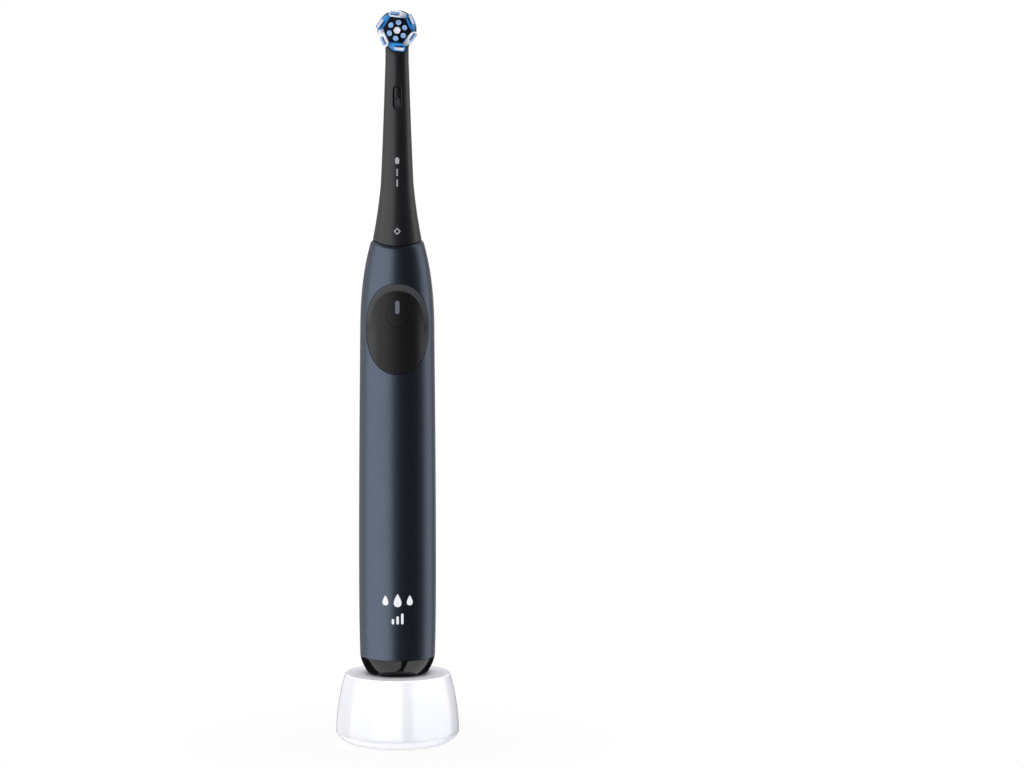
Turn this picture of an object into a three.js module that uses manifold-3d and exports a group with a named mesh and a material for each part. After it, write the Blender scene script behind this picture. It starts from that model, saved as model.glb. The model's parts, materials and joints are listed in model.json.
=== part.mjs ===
// Electric toothbrush standing on its induction charger.
// Millimetres, +Z up. The origin is the centre of the charger's underside and the brush faces -Y.
// Everything is built about one upright axis: charger, handle on the charger's post, brush head on the handle.
import * as THREE from "three";
import { mergeVertices } from "three/addons/utils/BufferGeometryUtils.js";
import Module from "manifold-3d";

const wasm = await Module();
wasm.setup();

// ---------------------------------------------------------------- driving dimensions

const gap = 0.3; // between pieces that pass each other at assembly
const fitGap = 0.12; // between pieces that are pressed, clipped or glued together
const runningGap = 0.08; // radial, where the shaft or the axle runs in its bearing

const charger = {
  height: 25.4,
  waistRadius: 22.4, // at the parting line between housing and base
  topRadius: 19.3,
  footRadius: 18.6,
  partingHeight: 3.8,
  belly: 0.7, // how far the side swells out past a straight line
  wall: 1.8,
  edge: 0.6,
  floor: 2.2, // thickness of the base
  lip: 2.4, // height of the base's lip inside the housing
  lipWall: 1.2,
};
const footPad = { innerRadius: 11, outerRadius: 16.5, proud: 0.4, depth: 0.8 };
const post = { radius: 4.8, height: 11.5, wall: 1.2, edge: 0.8 };
const chargerCore = { radius: 1.9, flangeRadius: 8, flange: 1.5 };
const chargerBoard = { radius: 15.5, thickness: 1.2, standoff: 4 };
const chargerCapacitor = { radius: 3.1, offset: 9 };
const gland = { height: 9.5, radius: 2.9, flangeRadius: 3.8, flange: 0.9, bore: 1.6, length: 5 };

const handle = {
  length: 158, // from its underside to its top edge at the sides
  radius: 14, // at its widest
  wall: 1.3,
  capHeight: 6,
  capBottomRadius: 11.2,
  capEdge: 0.7,
  capStep: 0.07, // how far the cap stands back from the shell
  baseTaper: 0.38, // how much slimmer than the widest radius the shell's lower edge is
  shoulderTaper: 0.58, // and the start of its shoulder
  shoulder: 31, // height of the shoulder
};
const socket = { clearance: 0.4, wall: 1.1, headroom: 0.6 };
const skirt = { wall: 2.2, grooveStart: 3, grooveHeight: 1.6, grooveDepth: 1.1, floor: 2.2 };
const pickupCoil = { length: 6.5, space: 0.6 }; // space is what is free between it and the skirt
const seam = { sag: 1.8, gap: 0.45, lip: 0.45 }; // the curved joint between handle and brush head

const chassis = { clearance: 0.25, wall: 0.9, plate: 1.5, topDrop: 21, rib: 1.6, wireHole: 3, shaftHole: 4, notch: 1 };
const cell = { radius: 7.1, length: 50, clearance: 0.25, nubRadius: 2.6, nub: 0.8 };
const tab = { width: 4, length: 11, thickness: 0.3 };
const board = { bay: 2.4, width: 10, thickness: 0.8 };
const chip = { size: 6, height: 1, drop: 48 };

const motor = { length: 33, wall: 0.8, plate: 2, mount: 1.8, damperInner: 3.4 };
const bobbin = { wall: 0.4, flange: 1, length: 19 };
const magnet = { radius: 3.9, length: 7, airGap: 0.35 };
const polePiece = { length: 3 };
const bush = { wall: 1.3, length: 4 };
const spring = { wire: 0.32, turns: 3 };
const shaft = { radius: 1.5, reach: 20, tail: 0.6 }; // reach is how far it stands above the handle
const stroke = 0.8; // of the drive, each way

const nose = { radius: 4.8, height: 9, tubeRadius: 7.2, wall: 1.4, roof: 1.6, sealRadius: 3.1, sealDepth: 2.4 };

const panel = {
  wrap: THREE.MathUtils.degToRad(57), // half of the angle that it wraps round the handle
  halfHeight: 16.3,
  drop: 31.2, // its centre below the handle's top
  squareness: 2.3, // exponent of the superellipse
  rim: 0.7, // thickness of its edge, which lies on a ledge in the shell
  ledge: 1.1,
  sideBorder: 1.5, // beside the thumb recess
  topBorder: 2.6,
  dish: 0.55, // depth of the thumb recess
};
const button = { radius: 5.9, flange: 0.7, thickness: 0.6, drop: 26.4, travel: 0.4, stemRadius: 1, play: 0.1 };
const lightWindow = { width: 1.7, height: 4.7, rise: 3 };
const tactSwitch = { size: 4, height: 0.7, plungerRadius: 1.2, plunger: 0.3 };
const led = { width: 1.6, height: 0.5, size: 0.9, space: 0.3 };

const brush = {
  length: 75.8, // from the rim at the sides to the centre of the bristle carrier
  rimRadius: 8.85,
  throatRadius: 5.9,
  throat: 20.5, // height of the flared part
  tipRadius: 4.2,
  tipDrop: 11.3, // the neck is slimmest this far below the carrier's centre
  rootRadius: 4.7, // where it runs into the cup
  wall: 1.2,
};
const slot = { width: 2.9, height: 8, drop: 24.3 };
const cup = { radius: 6.6, wall: 1.1, front: 3.2, back: 4.2 };
const insert = { start: 1, height: 6, clearance: 0.15 };
const clip = { thickness: 0.35, height: 1.6, rise: 2, opening: THREE.MathUtils.degToRad(80) };
const carrier = { radius: 7, thickness: 1.7, hubRadius: 1.5, hub: 0.6, pocket: 0.7 };
const axleRadius = 0.8;
const crank = { offset: 2.6, radius: 0.6, length: 3.3, play: 0.06, slide: 0.3 };
const rod = { half: 0.8, socketWall: 1.2, grip: 8, cap: 1.5, padWidth: 2.2, padDepth: 2.2, wall: 0.8, arm: 6.2 };
const eye = { front: -1.6, back: -0.3 };
const tuft = {
  count: 6,
  centre: { radius: 1.25, length: 7 },
  inner: { ring: 2.85, radius: 0.95, length: 7, angle: 82, lean: 10, tipRing: 2.9 },
  outer: { ring: 5.3, radius: 0.95, width: 4.3, length: 8.4, angle: 98, lean: 26, tipRing: 6.3 },
};

const fine = 36; // sides of the large round pieces
const medium = 20;
const coarse = 12;

// ---------------------------------------------------------------- solids

const solidOf = (geometry) => {
  const bare = geometry.index ? geometry.toNonIndexed() : geometry.clone();
  bare.deleteAttribute("normal");
  bare.deleteAttribute("uv");
  const merged = mergeVertices(bare, 1e-4);
  const index = merged.index.array;
  const kept = [];
  for (let i = 0; i < index.length; i += 3) {
    const [a, b, c] = [index[i], index[i + 1], index[i + 2]];
    if (a !== b && b !== c && c !== a) kept.push(a, b, c);
  }
  const vertProperties = merged.attributes.position.array;
  return new wasm.Manifold(new wasm.Mesh({ numProp: 3, vertProperties, triVerts: new Uint32Array(kept) }));
};

const geometryOf = (solid) => {
  const { vertProperties, triVerts } = solid.getMesh();
  const geometry = new THREE.BufferGeometry();
  geometry.setAttribute("position", new THREE.BufferAttribute(vertProperties, 3));
  geometry.setIndex(new THREE.BufferAttribute(triVerts, 1));
  geometry.computeVertexNormals();
  return geometry;
};

// A body of revolution about Z, from an outline of [radius, height] points that closes on itself.
const turned = (points, sides = fine) => {
  const outline = [...points, points[0]].map(([r, z]) => new THREE.Vector2(r, z));
  if (THREE.ShapeUtils.isClockWise(outline)) outline.reverse();
  return solidOf(new THREE.LatheGeometry(outline, sides).rotateX(Math.PI / 2));
};
const ring = (inner, outer, bottom, top, sides = medium) =>
  turned([[inner, bottom], [outer, bottom], [outer, top], [inner, top]], sides);
const disc = (radius, bottom, top, sides = medium) => ring(0, radius, bottom, top, sides);

const prismGeometry = (shape, front, back, curveSegments = 8) =>
  new THREE.ExtrudeGeometry(shape, { depth: back - front, bevelEnabled: false, curveSegments })
    .rotateX(Math.PI / 2)
    .translate(0, back, 0);
// A body with its outline in the XZ plane, from y = front to y = back.
const prism = (shape, front, back, curveSegments) => solidOf(prismGeometry(shape, front, back, curveSegments));
const roundAlongY = (radius, front, back, x = 0, z = 0, sides = medium) =>
  solidOf(new THREE.CylinderGeometry(radius, radius, back - front, sides).translate(x, (front + back) / 2, z));
const block = (x0, x1, y0, y1, z0, z1) =>
  solidOf(new THREE.BoxGeometry(x1 - x0, y1 - y0, z1 - z0)
    .translate((x0 + x1) / 2, (y0 + y1) / 2, (z0 + z1) / 2));

const pointsOf = (curve, steps) => curve.getPoints(steps).map((p) => [p.x, p.y]);
const bezier = (...corners) => new THREE.CubicBezierCurve(...corners.map(([r, z]) => new THREE.Vector2(r, z)));
const bow = (...corners) => new THREE.QuadraticBezierCurve(...corners.map(([r, z]) => new THREE.Vector2(r, z)));
// A quarter round from [r, z] up and in to [r - size, z + size].
const roundedEdge = (r, z, size) =>
  pointsOf(new THREE.EllipseCurve(r - size, z, size, size, 0, Math.PI / 2), 3).slice(1);
const radiusAt = (profile, height) => {
  const next = profile.findIndex(([, z]) => z >= height);
  const [r0, z0] = profile[next - 1];
  const [r1, z1] = profile[next];
  return r0 + ((r1 - r0) * (height - z0)) / (z1 - z0);
};
const takenIn = (profile, inset) => profile.map(([r, z]) => [r - inset, z]);
const filled = (profile, sides) => turned([[0, profile[0][1]], ...profile, [0, profile.at(-1)[1]]], sides);

const superellipse = (halfWidth, halfHeight, centre, exponent) => {
  const power = (value) => Math.sign(value) * Math.abs(value) ** (2 / exponent);
  const steps = 40;
  const angles = Array.from({ length: steps }, (_, i) => (i / steps) * 2 * Math.PI);
  const points = angles.map(
    (t) => new THREE.Vector2(halfWidth * power(Math.cos(t)), centre + halfHeight * power(Math.sin(t))),
  );
  return new THREE.Shape(points);
};
const pill = (width, height, z) => {
  const half = width / 2;
  const straight = height / 2 - half;
  return new THREE.Shape()
    .absarc(0, z + straight, half, 0, Math.PI, false)
    .absarc(0, z - straight, half, Math.PI, 2 * Math.PI, false);
};

// ---------------------------------------------------------------- materials and nodes

const finish = (color, roughness, metalness = 0) => ({ color, roughness, metalness });
const materials = {
  whiteGloss: finish(0xf4f4f6, 0.15),
  softGrey: finish(0xb9bbbe, 0.8),
  navyMetallic: finish(0x2c3648, 0.38, 0.6),
  blackGloss: finish(0x0c0c0e, 0.08),
  blackSatin: finish(0x1d1e22, 0.42),
  darkRubber: finish(0x2a2b2d, 0.6),
  sealRubber: finish(0x151515, 0.7),
  steel: finish(0xb8bcc0, 0.25, 1),
  nickel: finish(0xc9c5b4, 0.35, 1),
  copper: finish(0xb4622e, 0.35, 0.9),
  ferrite: finish(0x2f2f31, 0.55, 0.3),
  magnetPlate: finish(0xd0d2d5, 0.2, 1),
  bronze: finish(0x9a7440, 0.4, 0.9),
  boardGreen: finish(0x14532f, 0.45),
  chipBlack: finish(0x121314, 0.5),
  ivoryPlastic: finish(0xd9d4c6, 0.5),
  greyPlastic: finish(0x6c7076, 0.5),
  cellWrap: finish(0x2f6f8f, 0.4),
  milkyWindow: finish(0x9da3b4, 0.3),
  whiteBristle: finish(0xf2f4f8, 0.5),
  paleBlueBristle: finish(0xa8cdf2, 0.5),
  blueBristle: finish(0x1f6fb5, 0.45),
};

const part = new THREE.Group();
part.name = "toothbrush_on_charger";
const place = (name, solid, material, lift = 0) => {
  const geometry = geometryOf(solid).translate(0, 0, lift);
  const mesh = new THREE.Mesh(geometry, new THREE.MeshStandardMaterial(materials[material]));
  mesh.name = name;
  part.add(mesh);
};

// ---------------------------------------------------------------- charger

const postTop = charger.height + post.height;
const postBore = post.radius - post.wall;
const postRoof = postTop - post.wall;
const floorTop = footPad.proud + charger.floor;
const boardTop = floorTop + chargerBoard.standoff + chargerBoard.thickness;
const coreTop = charger.height - charger.wall - gap; // of the core's flange
const glandFace = charger.waistRadius - gland.flange - fitGap;

const chargerSide = (inset, bottom, top) => {
  const { waistRadius, topRadius, belly } = charger;
  const middle = (waistRadius + topRadius) / 2 + 2 * belly;
  const side = bow([waistRadius - inset, bottom], [middle - inset, (bottom + top) / 2], [topRadius - inset, top]);
  return pointsOf(side, 4);
};

const makeHousing = () => {
  const bottom = charger.partingHeight + fitGap;
  const outside = [
    ...chargerSide(0, bottom, charger.height - charger.edge),
    ...roundedEdge(charger.topRadius, charger.height - charger.edge, charger.edge),
    [post.radius, charger.height],
    [post.radius, postTop - post.edge],
    ...roundedEdge(post.radius, postTop - post.edge, post.edge),
    [0, postTop],
  ];
  const inside = [
    [0, postRoof],
    [postBore, postRoof],
    [postBore, charger.height - charger.wall],
    ...chargerSide(charger.wall, bottom, charger.height - charger.wall).reverse(),
  ];
  const housing = turned([...outside, ...inside])
    .subtract(roundAlongY(gland.radius + fitGap, 0, charger.waistRadius + 2, 0, gland.height))
    .subtract(roundAlongY(gland.flangeRadius + gap, glandFace, charger.waistRadius + 2, 0, gland.height));
  place("charger_housing", housing, "whiteGloss");
};

const makeChargerBase = () => {
  const { partingHeight, waistRadius, footRadius, wall, lip, lipWall } = charger;
  const grooveTop = footPad.proud + footPad.depth;
  const inside = chargerSide(wall, partingHeight + fitGap, charger.height - wall);
  const lipRadius = radiusAt(inside, partingHeight + lip) - gap;
  const underside = [[footRadius, footPad.proud], [waistRadius - 1, partingHeight - 2], [waistRadius, partingHeight]];
  const base = turned([
    [0, footPad.proud],
    [footPad.innerRadius - fitGap, footPad.proud],
    [footPad.innerRadius - fitGap, grooveTop],
    [footPad.outerRadius + fitGap, grooveTop],
    [footPad.outerRadius + fitGap, footPad.proud],
    ...pointsOf(bow(...underside), 4),
    [lipRadius, partingHeight],
    [lipRadius, partingHeight + lip],
    [lipRadius - lipWall, partingHeight + lip],
    [lipRadius - lipWall, floorTop],
    [0, floorTop],
  ]);
  place("charger_base", base, "whiteGloss");
  place("charger_foot_pad", ring(footPad.innerRadius, footPad.outerRadius, 0, grooveTop - fitGap, fine), "softGrey");
};

const makeChargerInsides = () => {
  const flangeBottom = coreTop - chargerCore.flange;
  const core = turned(
    [
      [0, flangeBottom],
      [chargerCore.flangeRadius, flangeBottom],
      [chargerCore.flangeRadius, coreTop],
      [chargerCore.radius, coreTop],
      [chargerCore.radius, postRoof - gap],
      [0, postRoof - gap],
    ],
    medium,
  );
  place("charger_core", core, "ferrite");
  const coil = ring(chargerCore.radius + fitGap, postBore - gap, coreTop + fitGap, postRoof - gap);
  place("charger_coil", coil, "copper");
  place("charger_board", disc(chargerBoard.radius, boardTop - chargerBoard.thickness, boardTop), "boardGreen");
  const capacitor = disc(chargerCapacitor.radius, boardTop + fitGap, flangeBottom - gap, coarse);
  place("charger_capacitor", capacitor.translate([chargerCapacitor.offset, 0, 0]), "chipBlack");
};

const makeGland = () => {
  const sleeve = roundAlongY(gland.radius, glandFace - gland.length, glandFace + gland.flange, 0, gland.height);
  const flange = roundAlongY(gland.flangeRadius, glandFace + fitGap, glandFace + gland.flange, 0, gland.height);
  const bore = roundAlongY(gland.bore, 0, charger.waistRadius + 1, 0, gland.height);
  place("cord_gland", sleeve.add(flange).subtract(bore), "softGrey");
};

// ---------------------------------------------------------------- handle
// Heights from here on are above the handle's underside, and handleLift is what sets it on the charger.

const handleLift = charger.height + gap;
const placeOnHandle = (name, solid, material) => place(name, solid, material, handleLift);

const top = handle.length;
const shellBottom = handle.capHeight + 0.2;
const shellBase = handle.radius - handle.baseTaper;
const rimRadius = brush.rimRadius + seam.lip;
const shoulderStart = top - handle.shoulder;
const shoulderRadius = handle.radius - handle.shoulderTaper;

const makeSkin = () => {
  const widest = shellBottom + (shoulderStart - shellBottom) * 0.26;
  const rise = widest - shellBottom;
  const fall = shoulderStart - widest;
  const lower = bezier(
    [shellBase, shellBottom],
    [shellBase + handle.baseTaper * 0.6, shellBottom + rise * 0.2],
    [handle.radius, shellBottom + rise * 0.5],
    [handle.radius, widest],
  );
  const middle = bezier(
    [handle.radius, widest],
    [handle.radius, widest + fall * 0.4],
    [shoulderRadius + handle.shoulderTaper * 0.45, shoulderStart - fall * 0.3],
    [shoulderRadius, shoulderStart],
  );
  const upper = bezier(
    [shoulderRadius, shoulderStart],
    [shoulderRadius - 0.12, top - handle.shoulder * 0.71],
    [rimRadius + (shoulderRadius - rimRadius) * 0.8, top - handle.shoulder * 0.35],
    [rimRadius, top],
  );
  return [...pointsOf(lower, 2), ...pointsOf(middle, 3).slice(1), ...pointsOf(upper, 7).slice(1)];
};
const skin = makeSkin();
const skinRadius = (height) => radiusAt(skin, height);
const band = (outerInset, innerInset) =>
  filled(takenIn(skin, outerInset)).subtract(filled([[1, shellBottom - 1], ...takenIn(skin, innerInset), [1, top + 1]]));

// The joint to the brush head is part of a cylinder lying along Y, so its edge dips at the front and the back.
const seamRadius = (rimRadius ** 2 + seam.sag ** 2) / (2 * seam.sag);
const seamCentre = top - seam.sag + seamRadius;
const seamCylinder = (inset) => roundAlongY(seamRadius - inset, -30, 30, 0, seamCentre, 72);

const socketRadius = post.radius + socket.clearance;
const socketTop = post.height + socket.headroom;
const cupTop = socketTop + socket.wall;
const skirtRadius = shellBase - handle.wall - fitGap;
const chassisBottom = cupTop + gap;
const chassisTop = top - chassis.topDrop;
const chassisRadius = skinRadius(chassisTop) - handle.wall - chassis.clearance;
const chassisBore = chassisRadius - chassis.wall;
const cavityTop = top - seam.sag - nose.roof;

const motorRadius = chassisBore - board.bay;
const motorTop = chassisTop - chassis.plate - motor.mount;
const motorBottom = motorTop - motor.length;
const ribTop = motorBottom - motor.mount;
const boardBack = -(motorRadius + gap);
const boardFront = boardBack - board.thickness;

const cellBottom = chassisBottom + chassis.plate + tab.thickness + 2 * fitGap;
const nubTop = cellBottom + cell.length + cell.nub;
const cellBayTop = nubTop + tab.thickness + 2 * fitGap;
const cellBay = cell.radius + cell.clearance;

const panelCentre = top - panel.drop;
const panelHalfWidth = skinRadius(panelCentre) * Math.sin(panel.wrap);
const panelOutline = (shrink) =>
  prism(
    superellipse(panelHalfWidth - shrink, panel.halfHeight - shrink, panelCentre, panel.squareness),
    -handle.radius - 2,
    -2,
  );
const buttonHeight = top - button.drop;

const makeBaseCap = () => {
  const { capHeight, capBottomRadius, capEdge, capStep } = handle;
  const capTop = shellBase - capStep;
  const side = bezier(
    [capBottomRadius + capEdge, capEdge],
    [capBottomRadius + capEdge * 2, capEdge * 2],
    [capTop - 0.15, capHeight * 0.65],
    [capTop, capHeight],
  );
  const skirtTop = chassisBottom - gap;
  const groove = capHeight + skirt.grooveStart;
  const cap = turned([
    [socketRadius, 0],
    [capBottomRadius, 0],
    ...pointsOf(side, 4),
    [skirtRadius, capHeight],
    [skirtRadius, groove],
    [skirtRadius - skirt.grooveDepth, groove],
    [skirtRadius - skirt.grooveDepth, groove + skirt.grooveHeight],
    [skirtRadius, groove + skirt.grooveHeight],
    [skirtRadius, skirtTop],
    [skirtRadius - skirt.wall, skirtTop],
    [skirtRadius - skirt.wall, skirt.floor],
    [socketRadius + socket.wall, skirt.floor],
    [socketRadius + socket.wall, cupTop],
    [0, cupTop],
    [0, socketTop],
    [socketRadius, socketTop],
  ]);
  placeOnHandle("base_cap", cap, "blackGloss");
  const sealInner = skirtRadius - skirt.grooveDepth + fitGap;
  const seal = ring(sealInner, skirtRadius, groove + fitGap, groove + skirt.grooveHeight - fitGap, fine);
  placeOnHandle("base_seal", seal, "sealRubber");
  const coilInner = socketRadius + socket.wall + fitGap;
  const coilBottom = skirt.floor + fitGap;
  const coilOuter = skirtRadius - skirt.wall - pickupCoil.space;
  const coil = ring(coilInner, coilOuter, coilBottom, coilBottom + pickupCoil.length);
  placeOnHandle("pickup_coil", coil, "copper");
};

const makeShell = () => {
  const hollow = filled([[skin[0][0] - handle.wall, shellBottom - 1], ...takenIn(skin, handle.wall)]);
  const cavity = hollow.subtract(block(-20, 20, -20, 20, cavityTop, top + 5));
  const recess = panelOutline(0).subtract(filled([[1, 0], ...takenIn(skin, panel.rim + fitGap), [1, top + 2]]));
  const shell = filled(skin)
    .subtract(cavity)
    .subtract(seamCylinder(0))
    .subtract(disc(nose.radius + fitGap, cavityTop - 1, top + 1))
    .subtract(recess)
    .subtract(panelOutline(panel.ledge));
  placeOnHandle("handle_shell", shell, "navyMetallic");
};

const makePanel = () => {
  const edge = band(0, panel.rim).intersect(panelOutline(fitGap));
  const core = band(0, handle.wall).intersect(panelOutline(panel.ledge + fitGap));
  const dishOutline = superellipse(
    panelHalfWidth - panel.sideBorder,
    panel.halfHeight - panel.topBorder,
    panelCentre,
    panel.squareness,
  );
  const dish = prism(dishOutline, -handle.radius - 2, -2).subtract(
    filled([[1, 0], ...takenIn(skin, panel.dish), [1, top + 2]]),
  );
  const hole = roundAlongY(button.radius + fitGap, -handle.radius - 2, -2, 0, buttonHeight);
  placeOnHandle("control_panel", edge.add(core).subtract(dish).subtract(hole), "darkRubber");
};

const makeButton = () => {
  const rest = handle.wall + gap; // depth of its flange below the handle's skin
  const cap = band(panel.dish, rest + button.thickness).intersect(
    roundAlongY(button.radius, -handle.radius - 2, -2, 0, buttonHeight),
  );
  const flange = band(rest, rest + button.thickness).intersect(
    roundAlongY(button.radius + button.flange, -handle.radius - 2, -2, 0, buttonHeight),
  );
  const switchFront = boardFront - fitGap - tactSwitch.height - tactSwitch.plunger;
  const stemTip = switchFront - button.travel - button.play;
  const stem = roundAlongY(button.stemRadius, rest - skinRadius(buttonHeight), stemTip, 0, buttonHeight, coarse);
  const windowHeight = buttonHeight + lightWindow.rise;
  const opening = prism(
    pill(lightWindow.width + 2 * fitGap, lightWindow.height + 2 * fitGap, windowHeight),
    -handle.radius - 2,
    -2,
  );
  placeOnHandle("power_button", cap.add(flange).add(stem.subtract(opening)).subtract(opening), "darkRubber");
  const light = band(panel.dish, rest + button.thickness).intersect(
    prism(pill(lightWindow.width, lightWindow.height, windowHeight), -handle.radius - 2, -2),
  );
  placeOnHandle("button_light_window", light, "milkyWindow");
};

const makeChassis = () => {
  const spool = cellBay + chassis.wall;
  const frame = turned([
    [chassis.wireHole, chassisBottom],
    [chassisRadius, chassisBottom],
    [chassisRadius, chassisBottom + chassis.plate],
    [spool, chassisBottom + chassis.plate],
    [spool, ribTop - chassis.rib],
    [chassisRadius, ribTop - chassis.rib],
    [chassisRadius, chassisTop],
    [chassis.shaftHole, chassisTop],
    [chassis.shaftHole, chassisTop - chassis.plate],
    [chassisBore, chassisTop - chassis.plate],
    [chassisBore, ribTop],
    [chassis.wireHole, ribTop],
    [chassis.wireHole, cellBayTop],
    [cellBay, cellBayTop],
    [cellBay, chassisBottom + chassis.plate],
    [chassis.wireHole, chassisBottom + chassis.plate],
  ]);
  const motorWindow = block(-20, 20, -20, boardBack + fitGap, ribTop, chassisTop + 1);
  const cellWindow = block(-4.5, 4.5, -20, 0, cellBottom + 6, nubTop - 6);
  const notchRadius = button.radius + button.flange + gap;
  const notch = roundAlongY(notchRadius, -20, boardBack + fitGap + chassis.notch, 0, buttonHeight);
  const chassisBody = frame.subtract(motorWindow).subtract(cellWindow).subtract(notch);
  placeOnHandle("chassis", chassisBody, "greyPlastic");
};

const makeBattery = () => {
  const can = turned(
    [
      [0, cellBottom],
      [cell.radius - 0.4, cellBottom],
      [cell.radius, cellBottom + 0.4],
      [cell.radius, cellBottom + cell.length - 0.4],
      [cell.radius - 0.4, cellBottom + cell.length],
      [cell.nubRadius, cellBottom + cell.length],
      [cell.nubRadius, nubTop],
      [0, nubTop],
    ],
    medium,
  );
  placeOnHandle("battery_cell", can, "cellWrap");
  const makeTab = (name, bottom) => {
    const [x, y] = [tab.width / 2, tab.length / 2];
    placeOnHandle(name, block(-x, x, -y, y, bottom, bottom + tab.thickness), "nickel");
  };
  makeTab("battery_tab_lower", cellBottom - fitGap - tab.thickness);
  makeTab("battery_tab_upper", nubTop + fitGap);
};

const makeBoard = () => {
  const half = board.width / 2;
  const boardEnd = chassisTop - fitGap;
  placeOnHandle("main_board", block(-half, half, boardFront, boardBack, ribTop + fitGap, boardEnd), "boardGreen");
  const face = boardFront - fitGap;
  const chipBottom = top - chip.drop;
  const chipHalf = chip.size / 2;
  const chipBody = block(-chipHalf, chipHalf, face - chip.height, face, chipBottom, chipBottom + chip.size);
  placeOnHandle("controller_chip", chipBody, "chipBlack");

  const side = tactSwitch.size / 2;
  const plungerFront = face - tactSwitch.height - tactSwitch.plunger;
  const key = block(-side, side, face - tactSwitch.height, face, buttonHeight - side, buttonHeight + side)
    .add(roundAlongY(tactSwitch.plungerRadius, plungerFront, face, 0, buttonHeight, coarse));
  placeOnHandle("tact_switch", key, "steel");
  const ledBottom = buttonHeight + side + led.space;
  const lamp = block(-led.width / 2, led.width / 2, face - led.height, face, ledBottom, ledBottom + led.size);
  placeOnHandle("status_led", lamp, "milkyWindow");
};

// ---------------------------------------------------------------- motor and drive

const bushRadius = shaft.radius + runningGap + bush.wall;
const yokeBore = motorRadius - motor.wall;
const flangeRadius = yokeBore - fitGap;
const bobbinBore = magnet.radius + magnet.airGap;
const bobbinOuter = bobbinBore + bobbin.wall;
const motorMiddle = (motorBottom + motorTop) / 2;
const magnetStart = polePiece.length / 2 + fitGap; // from the middle of the motor
const magnetEnd = magnetStart + magnet.length;

const makeMotor = () => {
  const lowPlate = motorBottom + motor.plate;
  const highPlate = motorTop - motor.plate;
  placeOnHandle("motor_yoke", ring(yokeBore, motorRadius, lowPlate + fitGap, highPlate - fitGap), "steel");
  placeOnHandle("motor_end_plate", ring(bushRadius + fitGap, motorRadius, motorBottom, lowPlate), "steel");
  placeOnHandle("motor_front_plate", ring(bushRadius + fitGap, motorRadius, highPlate, motorTop), "steel");

  const bushBore = shaft.radius + runningGap;
  const bushAt = (bottom) => ring(bushBore, bushRadius, bottom, bottom + bush.length);
  placeOnHandle("lower_bush", bushAt(motorBottom), "bronze");
  placeOnHandle("upper_bush", bushAt(motorTop - bush.length), "bronze");

  const bottom = motorMiddle - bobbin.length / 2;
  const end = motorMiddle + bobbin.length / 2;
  const former = turned(
    [
      [bobbinBore, bottom],
      [flangeRadius, bottom],
      [flangeRadius, bottom + bobbin.flange],
      [bobbinOuter, bottom + bobbin.flange],
      [bobbinOuter, end - bobbin.flange],
      [flangeRadius, end - bobbin.flange],
      [flangeRadius, end],
      [bobbinBore, end],
    ],
    medium,
  );
  placeOnHandle("coil_bobbin", former, "ivoryPlastic");
  const winding = ring(
    bobbinOuter + fitGap,
    flangeRadius - fitGap,
    bottom + bobbin.flange + fitGap,
    end - bobbin.flange - fitGap,
  );
  placeOnHandle("stator_coil", winding, "copper");

  const damperRadius = motorRadius - gap;
  const damper = (low, high) => ring(motor.damperInner, damperRadius, low + fitGap, high - fitGap);
  placeOnHandle("motor_damper_lower", damper(ribTop, motorBottom), "sealRubber");
  placeOnHandle("motor_damper_upper", damper(motorTop, chassisTop - chassis.plate), "sealRubber");
};

const makeDrive = () => {
  const tail = motorBottom - shaft.tail;
  placeOnHandle("drive_shaft", disc(shaft.radius, tail, top + shaft.reach), "steel");
  const bore = shaft.radius + fitGap / 2;
  const stack = (low, high) => ring(bore, magnet.radius, motorMiddle + low, motorMiddle + high);
  placeOnHandle("lower_magnet", stack(-magnetEnd, -magnetStart), "magnetPlate");
  placeOnHandle("upper_magnet", stack(magnetStart, magnetEnd), "magnetPlate");
  placeOnHandle("pole_piece", stack(-polePiece.length / 2, polePiece.length / 2), "steel");
};

const makeSprings = () => {
  const coilRadius = bushRadius + gap + spring.wire;
  const wire = new THREE.Shape().absarc(0, 0, spring.wire, 0, 2 * Math.PI, false);
  const stepsPerTurn = 10;
  const helix = (low, high) => {
    const steps = spring.turns * stepsPerTurn;
    const rise = high - low - 2 * (spring.wire + fitGap);
    const points = Array.from({ length: steps + 1 }, (_, i) => {
      const turn = (i / stepsPerTurn) * 2 * Math.PI;
      const z = low + spring.wire + fitGap + (rise * i) / steps;
      return new THREE.Vector3(coilRadius * Math.cos(turn), coilRadius * Math.sin(turn), z);
    });
    const extrudePath = new THREE.CatmullRomCurve3(points);
    return solidOf(new THREE.ExtrudeGeometry(wire, { steps, extrudePath, bevelEnabled: false, curveSegments: 5 }));
  };
  const lowPlate = motorBottom + motor.plate;
  const highPlate = motorTop - motor.plate;
  placeOnHandle("lower_spring", helix(lowPlate, motorMiddle - magnetEnd), "nickel");
  placeOnHandle("upper_spring", helix(motorMiddle + magnetEnd, highPlate), "nickel");
};

const makeNose = () => {
  const noseTop = top + nose.height;
  const sealBottom = noseTop - nose.sealDepth;
  const bore = shaft.radius + gap;
  const tubeBore = nose.tubeRadius - nose.wall;
  const collar = turned([
    [tubeBore, chassisTop + fitGap],
    [nose.tubeRadius, chassisTop + fitGap],
    [nose.tubeRadius, cavityTop - fitGap],
    [nose.radius, cavityTop - fitGap],
    [nose.radius, noseTop],
    [nose.sealRadius + fitGap, noseTop],
    [nose.sealRadius + fitGap, sealBottom],
    [bore, sealBottom],
    [bore, sealBottom - nose.wall],
    [nose.radius - nose.wall, sealBottom - nose.wall],
    [nose.radius - nose.wall, cavityTop - nose.wall],
    [tubeBore, cavityTop - nose.wall],
  ], 24);
  placeOnHandle("nose_collar", collar, "blackSatin");
  const seal = ring(shaft.radius + runningGap, nose.sealRadius, sealBottom + fitGap, noseTop - fitGap);
  placeOnHandle("shaft_seal", seal, "sealRubber");
};

// ---------------------------------------------------------------- brush head

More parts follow.
